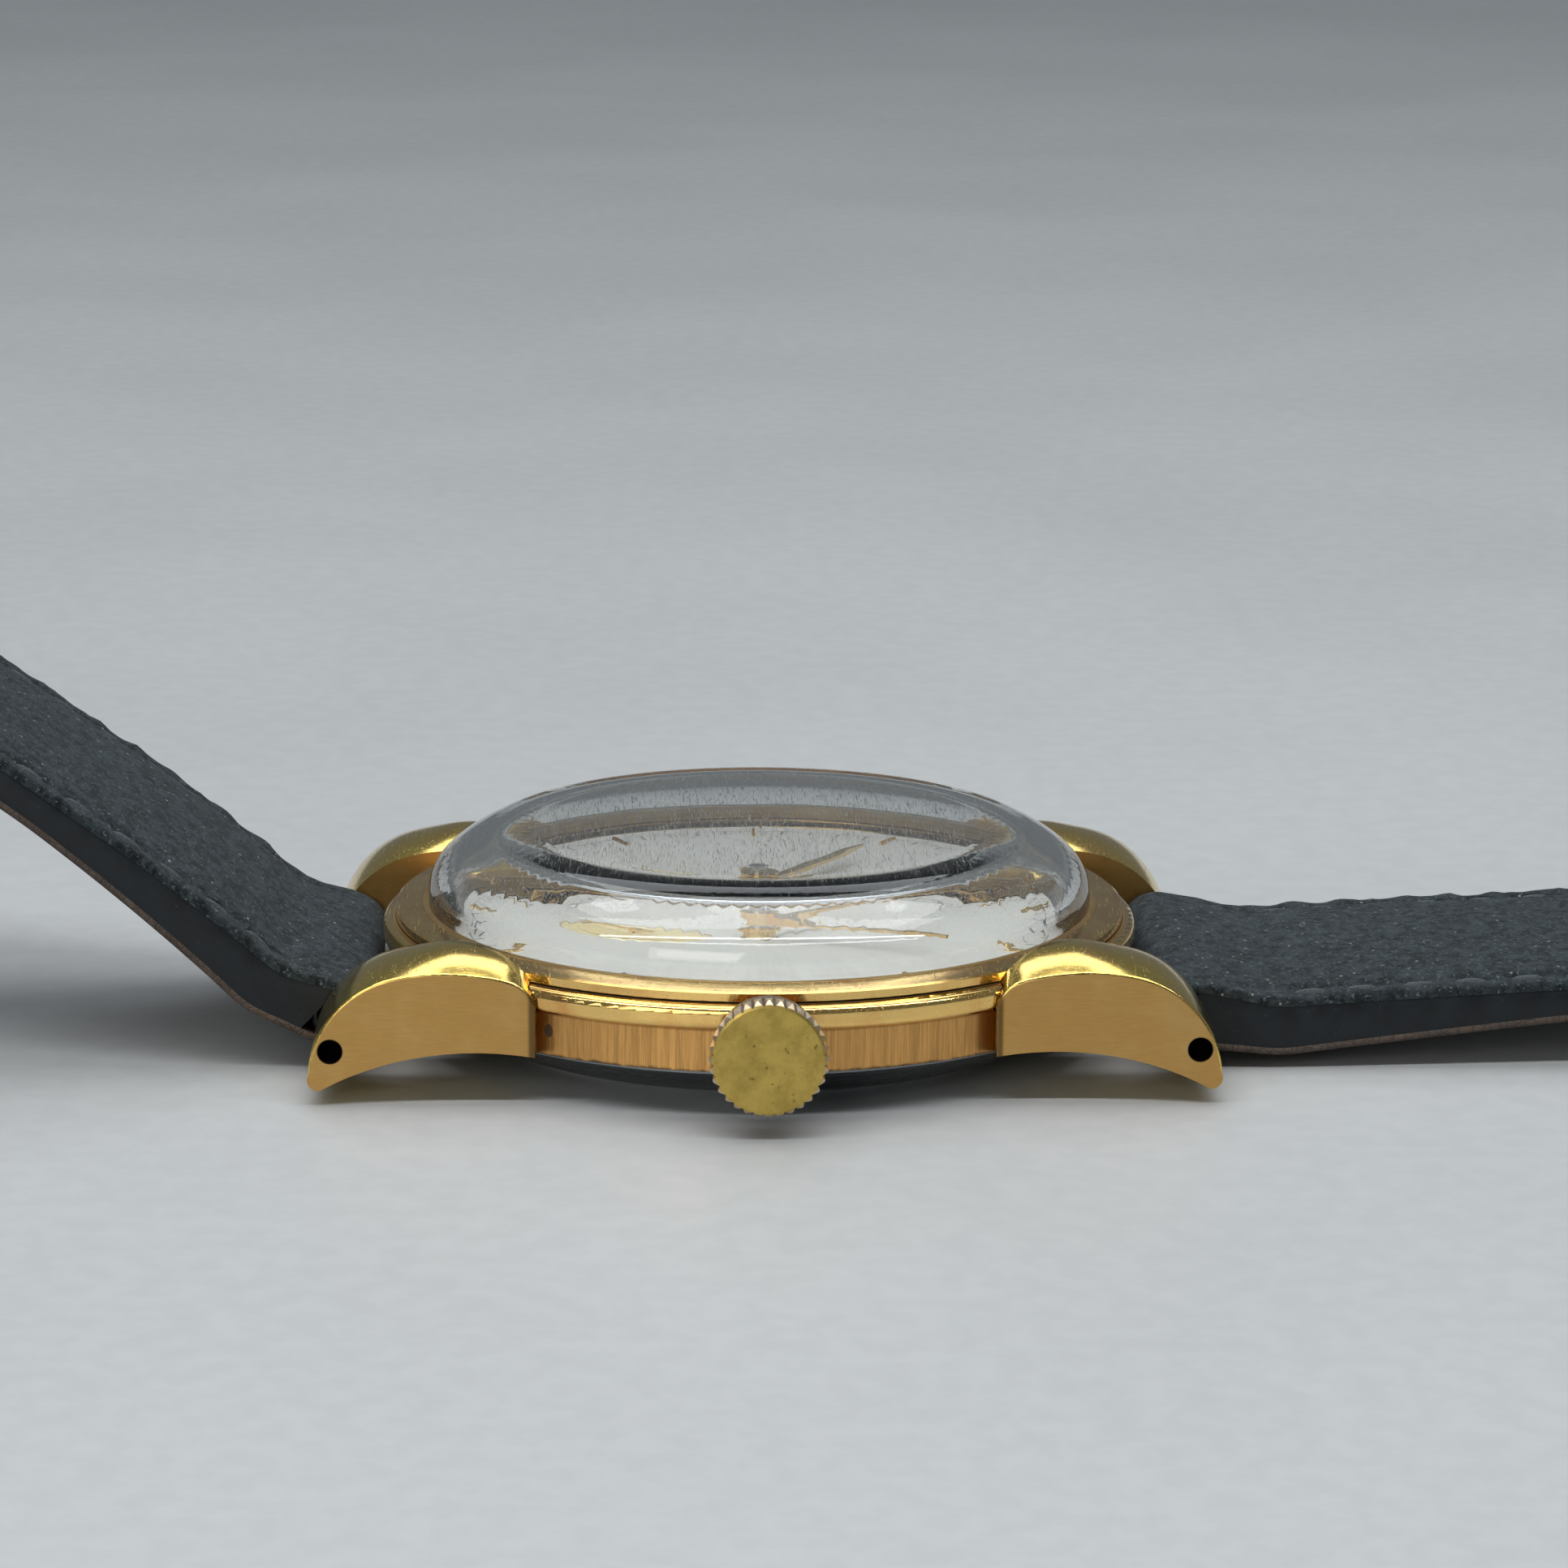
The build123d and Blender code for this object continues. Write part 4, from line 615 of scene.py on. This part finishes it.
class Half:
    """One half of the strap: where its surfaces run, seen from the side."""

    def __init__(self, name, side, start, runs, pointed):
        self.name = name
        self.side = side
        self.start = start
        self.runs = runs
        self.pointed = pointed
        self.length = sum(length for length, turn in runs)
        across, height, angle = start
        along, up = BAR_Y - across, BAR_Z - height
        self.bar_along = along * cos(radians(angle)) + up * sin(radians(angle))
        self.bar_up = -along * sin(radians(angle)) + up * cos(radians(angle))

    def place(self, distance, offset):
        """Point in the side view at this distance and this far above the middle line."""
        if distance < 0:
            across, height, angle = self.start
            across += distance * cos(radians(angle))
            height += distance * sin(radians(angle))
        else:
            across, height, angle = walk(self.start, self.runs, distance)
        return across - offset * sin(radians(angle)), height + offset * cos(radians(angle))

    def thickness(self, distance):
        share = min(max(distance, 0) / THICK_RUN, 1)
        return STRAP_THICK + (STRAP_THIN - STRAP_THICK) * share

    def half_width(self, distance):
        share = min(max((distance - 6) / (self.length - 16), 0), 1)
        half = (STRAP_WIDTH + (BUCKLE_WIDTH - STRAP_WIDTH) * share) / 2
        past = distance - (self.length - TIP_LENGTH)
        if self.pointed and past > 0:
            half *= max(1 - (past / (TIP_LENGTH + 0.5)) ** 2.3, 0.0001) ** 0.62
        return half

    def leave_point(self, sign):
        """Angle on the loop round the bar where a straight run leaves it for the strap's surface."""
        along = LOOP_MEETS - self.bar_along
        up = sign * self.thickness(LOOP_MEETS) / 2 - self.bar_up
        reach = sqrt(along * along + up * up)
        return atan2(up, along) + sign * acos(LOOP_R / reach)

    def surface(self, distance, sign):
        """Offset of the upper (+1) or lower (-1) surface, eased from the loop onto the strap."""
        angle = self.leave_point(sign)
        from_along = self.bar_along + LOOP_R * cos(angle)
        from_up = self.bar_up + LOOP_R * sin(angle)
        flat = sign * self.thickness(distance) / 2
        if distance >= LOOP_MEETS + 2:
            return flat
        straight = from_up + (flat - from_up) * (distance - from_along) / (LOOP_MEETS - from_along)
        if distance <= LOOP_MEETS - 2:
            return straight
        share = (distance - LOOP_MEETS + 2) / 4
        share = share * share * (3 - 2 * share)
        if distance < LOOP_MEETS:
            return straight * (1 - share) + flat * share
        return flat + (straight - flat) * (1 - share) * 0.5


LONG = Half("long", -1, LONG_START, LONG_RUNS, True)
SHORT = Half("short", 1, SHORT_START, SHORT_RUNS, False)


def outline(half, sign, first_angle, end):
    """Side-view line of a surface: (y, z, distance), round the bar loop and on to the end."""
    found = []
    leave = half.leave_point(sign)
    heading = radians(half.start[2])
    steps = 16
    for i in range(steps):
        angle = first_angle + (leave - first_angle) * i / steps
        along = half.bar_along + LOOP_R * cos(angle)
        offset = half.bar_up + LOOP_R * sin(angle)
        y = half.start[0] + along * cos(heading) - offset * sin(heading)
        z = half.start[1] + along * sin(heading) + offset * cos(heading)
        found.append((y, z, along))
    begin = half.bar_along + LOOP_R * cos(leave)
    count = int((end - begin) / STATION_STEP)
    for i in range(count + 1):
        distance = begin + (end - begin) * i / count
        found.append((*half.place(distance, half.surface(distance, sign)), distance))
    return found


def with_normals(line_points, sign, smoothing=3):
    """Adds the outward normal to each (y, z, distance)."""
    for _ in range(smoothing):
        line_points = [line_points[0]] + [
            tuple((a[k] + 2 * b[k] + c[k]) / 4 for k in range(3))
            for a, b, c in zip(line_points, line_points[1:], line_points[2:])
        ] + [line_points[-1]]
    found = []
    for i, (y, z, distance) in enumerate(line_points):
        before = line_points[max(i - 1, 0)]
        after = line_points[min(i + 1, len(line_points) - 1)]
        run, rise = after[0] - before[0], after[1] - before[1]
        size = sqrt(run * run + rise * rise)
        found.append((y, z, distance, -rise / size * sign, run / size * sign))
    return found


def edge_steps(half_width):
    """Distances in from the edge at which a cross-section has points, fine near the seam."""
    steps = [0, 0.04, 0.12, 0.24, 0.36, 0.5, 0.64, 0.78, 0.9, 1.0, 1.1]
    steps += [1.2, 1.3, 1.4, 1.5, 1.62, 1.76, 1.92, 2.1, 2.4, 2.8]
    steps += [2.8 + (STRAP_WIDTH / 2 - 2.8) * i / 11 for i in range(1, 12)]
    scale = min(1, half_width / (STRAP_WIDTH / 2))
    return [s * scale for s in steps]


def ripple(distance, seed, scale=1.0):
    return noise.noise(Vector((distance * scale, seed * 7.3, 0.37)))


def skin_height(half, x, edge, distance, half_width):
    """How far the napped surface stands off its nominal line: crown, seam hollow, puckered rim."""
    body = min(max((distance - 1.0) / 5.0, 0), 1)
    fade = min(max((distance - 10) / 22, 0), 1)
    crown = (CROWN_PADDED + (CROWN_FLAT - CROWN_PADDED) * fade) * (0.3 + 0.7 * body)
    share = abs(x) / max(half_width, 0.01)
    height = crown * (1 - share ** 2.4)
    side = 1 if x > 0 else 2
    phase = distance / STITCH_PITCH + 0.25 * ripple(distance, side, 0.3)
    pull = 0.5 + 0.5 * cos(2 * pi * phase)
    depth = (0.16 + 0.20 * pull) * body
    height -= depth * exp(-((edge - STITCH_INSET) / 0.36) ** 2)
    rim = exp(-(edge / 0.75) ** 2)
    height += rim * body * (0.10 * (1 - pull) - 0.05 + 0.09 * ripple(distance, side + 5, 1.3))
    height += 0.045 * noise.noise(Vector((x * 1.3, distance * 1.3, side * 0.01)))
    height += 0.020 * noise.noise(Vector((x * 3.7, distance * 3.7, 4.2)))
    return height


def skin_ring(half, station, low_x=None):
    """Closed cross-section of the top leather; low_x starts it beside the slot, not at the far edge."""
    y, z, distance, ny, nz = station
    half_width = half.half_width(distance)
    steps = edge_steps(half_width)
    scale = min(1, half_width / 4)
    thick = SKIN * (0.25 + 0.75 * scale)
    corner = 0.20 * scale
    top = [(half_width - s, s) for s in steps]
    if low_x is None:
        top += [(-x, s) for x, s in reversed(top[:-1])]
    else:
        top = [(x, s) for x, s in top if x > low_x + 0.05] + [(low_x, half_width - low_x)]
    ring = []
    for x, edge in top:
        off = skin_height(half, x, edge, distance, half_width)
        if edge < corner:
            off -= corner - sqrt(max(corner * corner - (corner - edge) ** 2, 0))
        wobble = 0.05 * ripple(distance, 9 if x > 0 else 11, 1.1) * exp(-edge / 0.5)
        ring.append((x + (wobble if x > 0 else -wobble), off))
    end_x = top[-1][0]
    under = -thick
    ring.append((end_x + (0.03 if low_x is None else 0), under + 0.05))
    ring.append((end_x * 0.97 if low_x is None else end_x, under))
    ring.append((half_width * 0.97, under))
    ring.append((half_width - 0.03, under + 0.05))
    side = half.side
    return [(x, side * (y + ny * off), z + nz * off) for x, off in ring]


def strap_skin(half):
    """The napped top leather of a half, wrapped round the spring bar."""
    under = radians(SKIN_END)
    if half.pointed:
        stations = with_normals(outline(half, 1, under, half.length + 0.35), 1)
        parts = [loft([skin_ring(half, s) for s in stations])]
    else:
        split = half.length - 1.2
        body = with_normals(outline(half, 1, under, split), 1)
        parts = [loft([skin_ring(half, s) for s in body])]
        wrap = with_normals(buckle_wrap_line(half, split - 0.3), 1)
        right = loft([skin_ring(half, s, TONGUE_SLOT) for s in wrap])
        parts.append(right)
        parts.append(([(-x, y, z) for x, y, z in right[0]], right[1]))
    return joined_meshes(parts)


def buckle_wrap_line(half, begin):
    """The top surface from the slot's start, over the buckle bar and back beneath it."""
    found = []
    centre = half.length + 1.0
    for i in range(9):
        distance = begin + (centre - begin) * i / 9
        share = i / 9
        offset = STRAP_THIN / 2 + (BUCKLE_LOOP_R - STRAP_THIN / 2) * share * share
        found.append((*half.place(distance, offset), distance))
    for i in range(15):
        angle = pi / 2 - pi * i / 14
        distance = centre + BUCKLE_LOOP_R * cos(angle)
        found.append((*half.place(distance, BUCKLE_LOOP_R * sin(angle)), distance))
    for i in range(1, 6):
        found.append((*half.place(centre - 0.4 * i, -BUCKLE_LOOP_R + 0.02 * i), centre - 0.4 * i))
    return found


def core_ring(half, distance):
    """Cross-section of the painted sides: a gently bulging closed ring between skin and lining."""
    half_width = half.half_width(distance) - 0.09
    scale = min(1, half_width / 4)
    top = half.surface(distance, 1) - SKIN * (0.25 + 0.75 * scale) + 0.03
    low = half.surface(distance, -1) + LINING - 0.03
    crown = (CROWN_PADDED * 0.6) * (1 - min(max((distance - 10) / 22, 0), 1))
    wall = []
    for i in range(9):
        share = i / 8
        bulge = 0.10 * sin(pi * share) ** 0.7 + 0.03 * ripple(distance, 21, 0.5) * sin(pi * share)
        wall.append((half_width + bulge * scale, top + (low - top) * share))
    ring = [(half_width * 0.5, top + crown * 0.7)] + wall
    ring += [(-x, o) for x, o in reversed(ring)]
    return [(x, *side_point(half, distance, o)) for x, o in ring]


def side_point(half, distance, offset):
    y, z = half.place(distance, offset)
    return half.side * y, z


def strap_core(half):
    """The filler between skin and lining, whose painted sides show."""
    begin = half.bar_along + LOOP_R * cos(half.leave_point(1)) + 0.15
    end = half.length + (0.30 if half.pointed else -0.2)
    count = int((end - begin) / 0.6)
    rings = [core_ring(half, begin + (end - begin) * i / count) for i in range(count + 1)]
    parts = [loft(rings), bar_loop(half)]
    return joined_meshes(parts)


def bar_loop(half):
    """The turn of leather inside the skin, round the spring bar."""
    inner, outer, reach = BAR_TUBE_R + 0.10, LOOP_R - SKIN + 0.04, STRAP_WIDTH / 2 - 0.10
    profile = [(inner, reach - 0.12), (inner + 0.10, reach)]
    profile += [(outer - 0.12, reach), (outer, reach - 0.12)]
    profile += [(r, -x) for r, x in reversed(profile)]
    rings = []
    for i in range(28):
        angle = 2 * pi * i / 28
        rings.append([
            (x, half.side * (BAR_Y + r * cos(angle)), BAR_Z + r * sin(angle)) for r, x in profile
        ])
    return loft(rings, closed_path=True)


def lining_ring(half, station):
    """Cross-section of the lining, with softly rounded cut edges."""
    y, z, distance, ny, nz = station
    half_width = half.half_width(distance) - 0.02
    scale = min(1, half_width / 4)
    fray = 0.05 * ripple(distance, 31, 1.7)
    section = [
        (half_width * 0.55, 0.02), (half_width - 0.30 * scale, 0.0),
        (half_width - 0.08 * scale, -0.05), (half_width + fray * scale, -0.16),
        (half_width + fray * scale, -0.28), (half_width - 0.06, -LINING),
    ]
    section += [(-x, o) for x, o in reversed(section)]
    side = half.side
    return [(x, side * (y + ny * o), z + nz * o) for x, o in section]


def strap_lining(half):
    start = radians(SKIN_END - 360)
    end = half.length + (0.25 if half.pointed else -0.2)
    stations = with_normals(outline(half, -1, start, end), -1)
    return loft([lining_ring(half, s) for s in stations])


def stitch_rows(half, sign, inset, sink):
    """Thread bars along both edges of a surface."""
    parts = []
    last = half.length - (TIP_LENGTH if half.pointed else 5.0)
    count = int((last - 5.0) / STITCH_PITCH)
    for side in (1, -1):
        for i in range(2, 2 + count):
            middle = STITCH_PITCH * (i + 0.02 * ((i * 7) % 5 - 2))
            parts.append(stitch(half, sign, side, middle, inset, sink))
    return joined_meshes(parts)


def stitch(half, sign, side, middle, inset, sink):
    """One stitch: a short thread bar whose ends dive into the leather."""
    rings = []
    length, radius = STITCH_PITCH * 0.74, 0.19
    for i in range(9):
        share = i / 8 - 0.5
        distance = middle + length * share
        x = side * (half.half_width(distance) - inset)
        arch = 0.34 * (1 - (2 * share) ** 4) - 0.30
        offset = half.surface(distance, sign) + sign * (arch - sink)
        girth = radius * (1 - 0.35 * (2 * abs(share)) ** 3)
        ring = []
        for j in range(8):
            angle = 2 * pi * j / 8
            y, z = side_point(half, distance, offset + girth * 0.8 * sin(angle))
            ring.append((x + girth * cos(angle), y, z))
        rings.append(ring)
    return loft(rings)


def punched(piece, half):
    """Cuts the buckle holes through a piece and returns it."""
    parts = []
    for i in range(HOLES):
        along = half.length - FIRST_HOLE - i * HOLE_PITCH
        rings = []
        for offset in (-4.0, 4.0):
            ring = []
            for j in range(32):
                angle = 2 * pi * j / 32
                y, z = side_point(half, along + HOLE_R * sin(angle), offset)
                ring.append((HOLE_R * cos(angle), y, z))
            rings.append(ring)
        parts.append(loft(rings))
    points, faces = joined_meshes(parts)
    mesh = bpy.data.meshes.new("punch")
    mesh.from_pydata([Vector(p) * MM for p in points], [], faces)
    work = bmesh.new()
    work.from_mesh(mesh)
    bmesh.ops.recalc_face_normals(work, faces=work.faces)
    work.to_mesh(mesh)
    work.free()
    punch = bpy.data.objects.new("punch", mesh)
    bpy.context.scene.collection.objects.link(punch)
    cut = piece.modifiers.new("holes", "BOOLEAN")
    cut.operation = "DIFFERENCE"
    cut.solver = "EXACT"
    cut.object = punch
    bpy.context.view_layer.update()
    evaluated = piece.evaluated_get(bpy.context.evaluated_depsgraph_get())
    result = bpy.data.meshes.new_from_object(evaluated)
    piece.modifiers.clear()
    piece.data = result
    result.set_sharp_from_angle(angle=radians(40))
    bpy.data.objects.remove(punch)
    return piece


def keeper(half, along):
    """A sewn leather band round the strap: domed outside, creased near its edges."""
    width = half.half_width(along) + KEEPER_SIDE_ROOM + KEEPER_WALL / 2
    low = -STRAP_THIN / 2 - 0.06 - KEEPER_WALL / 2
    high = STRAP_THIN / 2 + STRAP_THIN + 0.35 + KEEPER_WALL / 2
    corner = 0.85
    path = []
    centres = [(width - corner, high - corner, 0), (-width + corner, high - corner, 90)]
    centres += [(-width + corner, low + corner, 180), (width - corner, low + corner, 270)]
    for i, (x, offset, turn) in enumerate(centres):
        for j in range(7):
            angle = radians(turn + 15 * j)
            path.append((x + corner * cos(angle), offset + corner * sin(angle), cos(angle), sin(angle)))
        following = centres[(i + 1) % 4]
        angle = radians(turn + 90)
        start = (x + corner * cos(angle), offset + corner * sin(angle))
        angle_next = radians(following[2])
        finish = (following[0] + corner * cos(angle_next), following[1] + corner * sin(angle_next))
        gap = sqrt((finish[0] - start[0]) ** 2 + (finish[1] - start[1]) ** 2)
        steps = max(int(gap / 0.5), 1)
        for j in range(1, steps):
            share = j / steps
            path.append((
                start[0] + (finish[0] - start[0]) * share, start[1] + (finish[1] - start[1]) * share,
                cos(angle), sin(angle),
            ))
    reach, wall = KEEPER_WIDTH / 2, KEEPER_WALL / 2
    outer = [
        (-reach, wall - 0.28), (-reach + 0.06, wall - 0.12), (-reach + 0.20, wall - 0.02),
        (-reach + 0.45, wall - 0.01), (-reach + 0.60, wall - 0.10), (-reach + 0.75, wall),
        (-reach * 0.3, wall + 0.07),
    ]
    outer += [(-d, o) for d, o in reversed(outer)]
    inner = [(reach, -wall + 0.10), (reach - 0.10, -wall), (0, -wall)]
    inner += [(-reach + 0.10, -wall), (-reach, -wall + 0.10)]
    rings = []
    for k, (x, offset, nx, no) in enumerate(path):
        swell = 0.03 * noise.noise(Vector((k * 0.35, along, 1.1)))
        ring = []
        for shift, out in outer + inner:
            grown = out + (swell if out > 0 else 0)
            y, z = side_point(half, along + shift, offset + no * grown)
            ring.append((x + nx * grown, y, z))
        rings.append(ring)
    return loft(rings, closed_path=True)


# ---------------------------------------------------------------- building

def dress_frame():
    """Gives every carried-over CAD node its material."""
    gold_hand = metal("hand_gold", (0.93, 0.66, 0.30), 0.16, wear=0.1)
    fittings = metal("fitting_gold", (0.90, 0.62, 0.28), 0.16, wear=0.3)
    plated = brushed_metal("plated_grain", (0.72, 0.68, 0.58), 0.30, (0.6, 12, 12), 0.3)
    train = brushed_metal("train_brass", (0.82, 0.60, 0.26), 0.28, (10, 10, 0.6), 0.3)
    steel = brushed_metal("fine_steel", (0.56, 0.57, 0.59), 0.24, (9, 1.2, 9), 0.3)
    blued = metal("tempered_steel", (0.16, 0.20, 0.34), 0.18, wear=0.05)
    looks = {
        case_gold(): ["case_middle"],
        bezel_gold(): ["bezel"],
        lug_gold(): ["lug_2_oclock", "lug_4_oclock", "lug_8_oclock", "lug_10_oclock"],
        crown_brass(): ["crown"],
        back_steel(): ["case_back"],
        crystal_acrylic(): ["crystal"],
        dial_silver(): ["dial"],
        gold_hand: ["hour_hand", "minute_hand", "seconds_hand", "hour_markers"],
        fittings: ["pendant_tube", "buckle_frame", "buckle_tongue"],
        plated: [
            "mainplate", "barrel_bridge", "train_bridge", "balance_cock", "pallet_cock", "movement_ring",
        ],
        train: [
            "barrel_drum", "barrel_cover", "centre_wheel", "minute_wheel", "hour_wheel", "third_wheel",
            "fourth_wheel", "balance_wheel",
        ],
        steel: [
            "winding_stem", "winding_pinion", "sliding_pinion", "crown_wheel", "ratchet_wheel", "click",
            "barrel_arbor", "cannon_pinion", "escape_wheel", "pallet_fork", "spring_bar_short_side",
            "spring_bar_long_side", "plunger_2_oclock", "plunger_4_oclock", "plunger_8_oclock",
            "plunger_10_oclock", "buckle_bar",
        ],
        blued: ["hairspring", "mainspring", "bridge_screws"],
        ruby(): ["jewels"],
    }
    for look, names in looks.items():
        for name in names:
            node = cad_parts[name]
            node.data.materials.clear()
            node.data.materials.append(look.material)


def make_strap():
    """The detailed leather pieces that stand for the plain strap solids."""
    nap, paint, calf, yarn = nubuck(), painted_edge(), lining_leather(), thread()
    for half in (LONG, SHORT):
        body = "strap_" + half.name
        layers = (
            ("_skin", strap_skin(half), nap, "nubuck", "_top", 50),
            ("_edge", strap_core(half), paint, "nubuck", "_padding", 60),
            ("_underside", strap_lining(half), calf, "lining", "_lining", 50),
        )
        for name, (points, faces), look, slot, solid, sharp in layers:
            piece = make_piece(body + name, points, faces, look, body, slot, [body + solid], sharp)
            if half.pointed:
                punched(piece, half)
        rows = stitch_rows(half, 1, STITCH_INSET, 0.12)
        make_piece(body + "_stitches", *rows, yarn, body, "nubuck")
        rows = stitch_rows(half, -1, STITCH_INSET, 0.02)
        make_piece(body + "_under_stitches", *rows, yarn, body, "lining")
    for name, along, body in (
        ("free_keeper", FREE_KEEPER_AT, "free_keeper"),
        ("fixed_keeper", FIXED_KEEPER_AT, "strap_short"),
    ):
        make_piece(name + "_band", *keeper(SHORT, along), nap, body, "nubuck", [name], 60)


def make_camera():
    yaw, pitch, roll = radians(CAMERA_YAW), radians(CAMERA_PITCH), radians(CAMERA_ROLL)
    forward = Vector((-cos(pitch) * cos(yaw), -cos(pitch) * sin(yaw), -sin(pitch)))
    level = Vector((-sin(yaw), cos(yaw), 0))
    upright = level.cross(forward)
    right = level * cos(roll) + upright * sin(roll)
    top = upright * cos(roll) - level * sin(roll)
    data = bpy.data.cameras.new("camera")
    data.lens = CAMERA_LENS
    data.sensor_width = 36
    data.clip_start = 0.01
    data.clip_end = 50
    camera = bpy.data.objects.new("camera", data)
    bpy.context.scene.collection.objects.link(camera)
    turn = Matrix((right, top, -forward)).transposed()
    camera.matrix_world = Matrix.Translation(CAMERA_AT) @ turn.to_4x4()
    bpy.context.scene.camera = camera


def area_light(name, at, target, size, power, color=(1, 1, 1)):
    data = bpy.data.lights.new(name, "AREA")
    data.shape = "RECTANGLE"
    data.size, data.size_y = size
    data.energy = power
    data.color = color
    light = bpy.data.objects.new(name, data)
    light.location = at
    aim = Vector(target) - Vector(at)
    light.rotation_mode = "QUATERNION"
    light.rotation_quaternion = aim.to_track_quat("-Z", "Y")
    bpy.context.scene.collection.objects.link(light)
    return light


def make_studio():
    """Pale floor, a soft overhead light, a long strip along the strap, and two soft fills."""
    size = 8000
    mesh = bpy.data.meshes.new("floor")
    corners = [(-size, -size, 0), (size, -size, 0), (size, size, 0), (-size, size, 0)]
    mesh.from_pydata([Vector(p) * MM for p in corners], [], [(0, 1, 2, 3)])
    floor = bpy.data.objects.new("floor", mesh)
    bpy.context.scene.collection.objects.link(floor)
    mesh.materials.append(floor_paper().material)
    world = bpy.data.worlds.new("studio")
    bpy.context.scene.world = world
    world.use_nodes = True
    world.node_tree.nodes["Background"].inputs["Color"].default_value = (0.78, 0.86, 0.92, 1)
    world.node_tree.nodes["Background"].inputs["Strength"].default_value = 0.17
    middle = (0, 0, 0.004)
    area_light("overhead", (-0.06, 0.0, 0.52), middle, (0.62, 0.30), 1.3)
    area_light("near_strip", (0.20, 0.0, 0.40), middle, (0.90, 0.030), 1.5)
    area_light("back_fill", (-0.60, 0.0, 0.75), middle, (0.6, 0.3), 1.2, (0.90, 0.95, 1.0))
    area_light("front_fill", (0.80, -0.35, 0.30), middle, (0.5, 0.4), 1.5, (1.0, 0.97, 0.92))
    bpy.context.scene.view_settings.view_transform = "Standard"


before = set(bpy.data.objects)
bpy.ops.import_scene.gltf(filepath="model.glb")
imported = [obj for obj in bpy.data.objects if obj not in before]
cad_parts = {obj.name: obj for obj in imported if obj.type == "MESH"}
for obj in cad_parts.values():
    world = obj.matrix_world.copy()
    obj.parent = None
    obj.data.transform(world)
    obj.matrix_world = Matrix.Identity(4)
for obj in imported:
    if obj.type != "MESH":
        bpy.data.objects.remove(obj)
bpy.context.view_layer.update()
make_camera()
dress_frame()
make_strap()
make_studio()
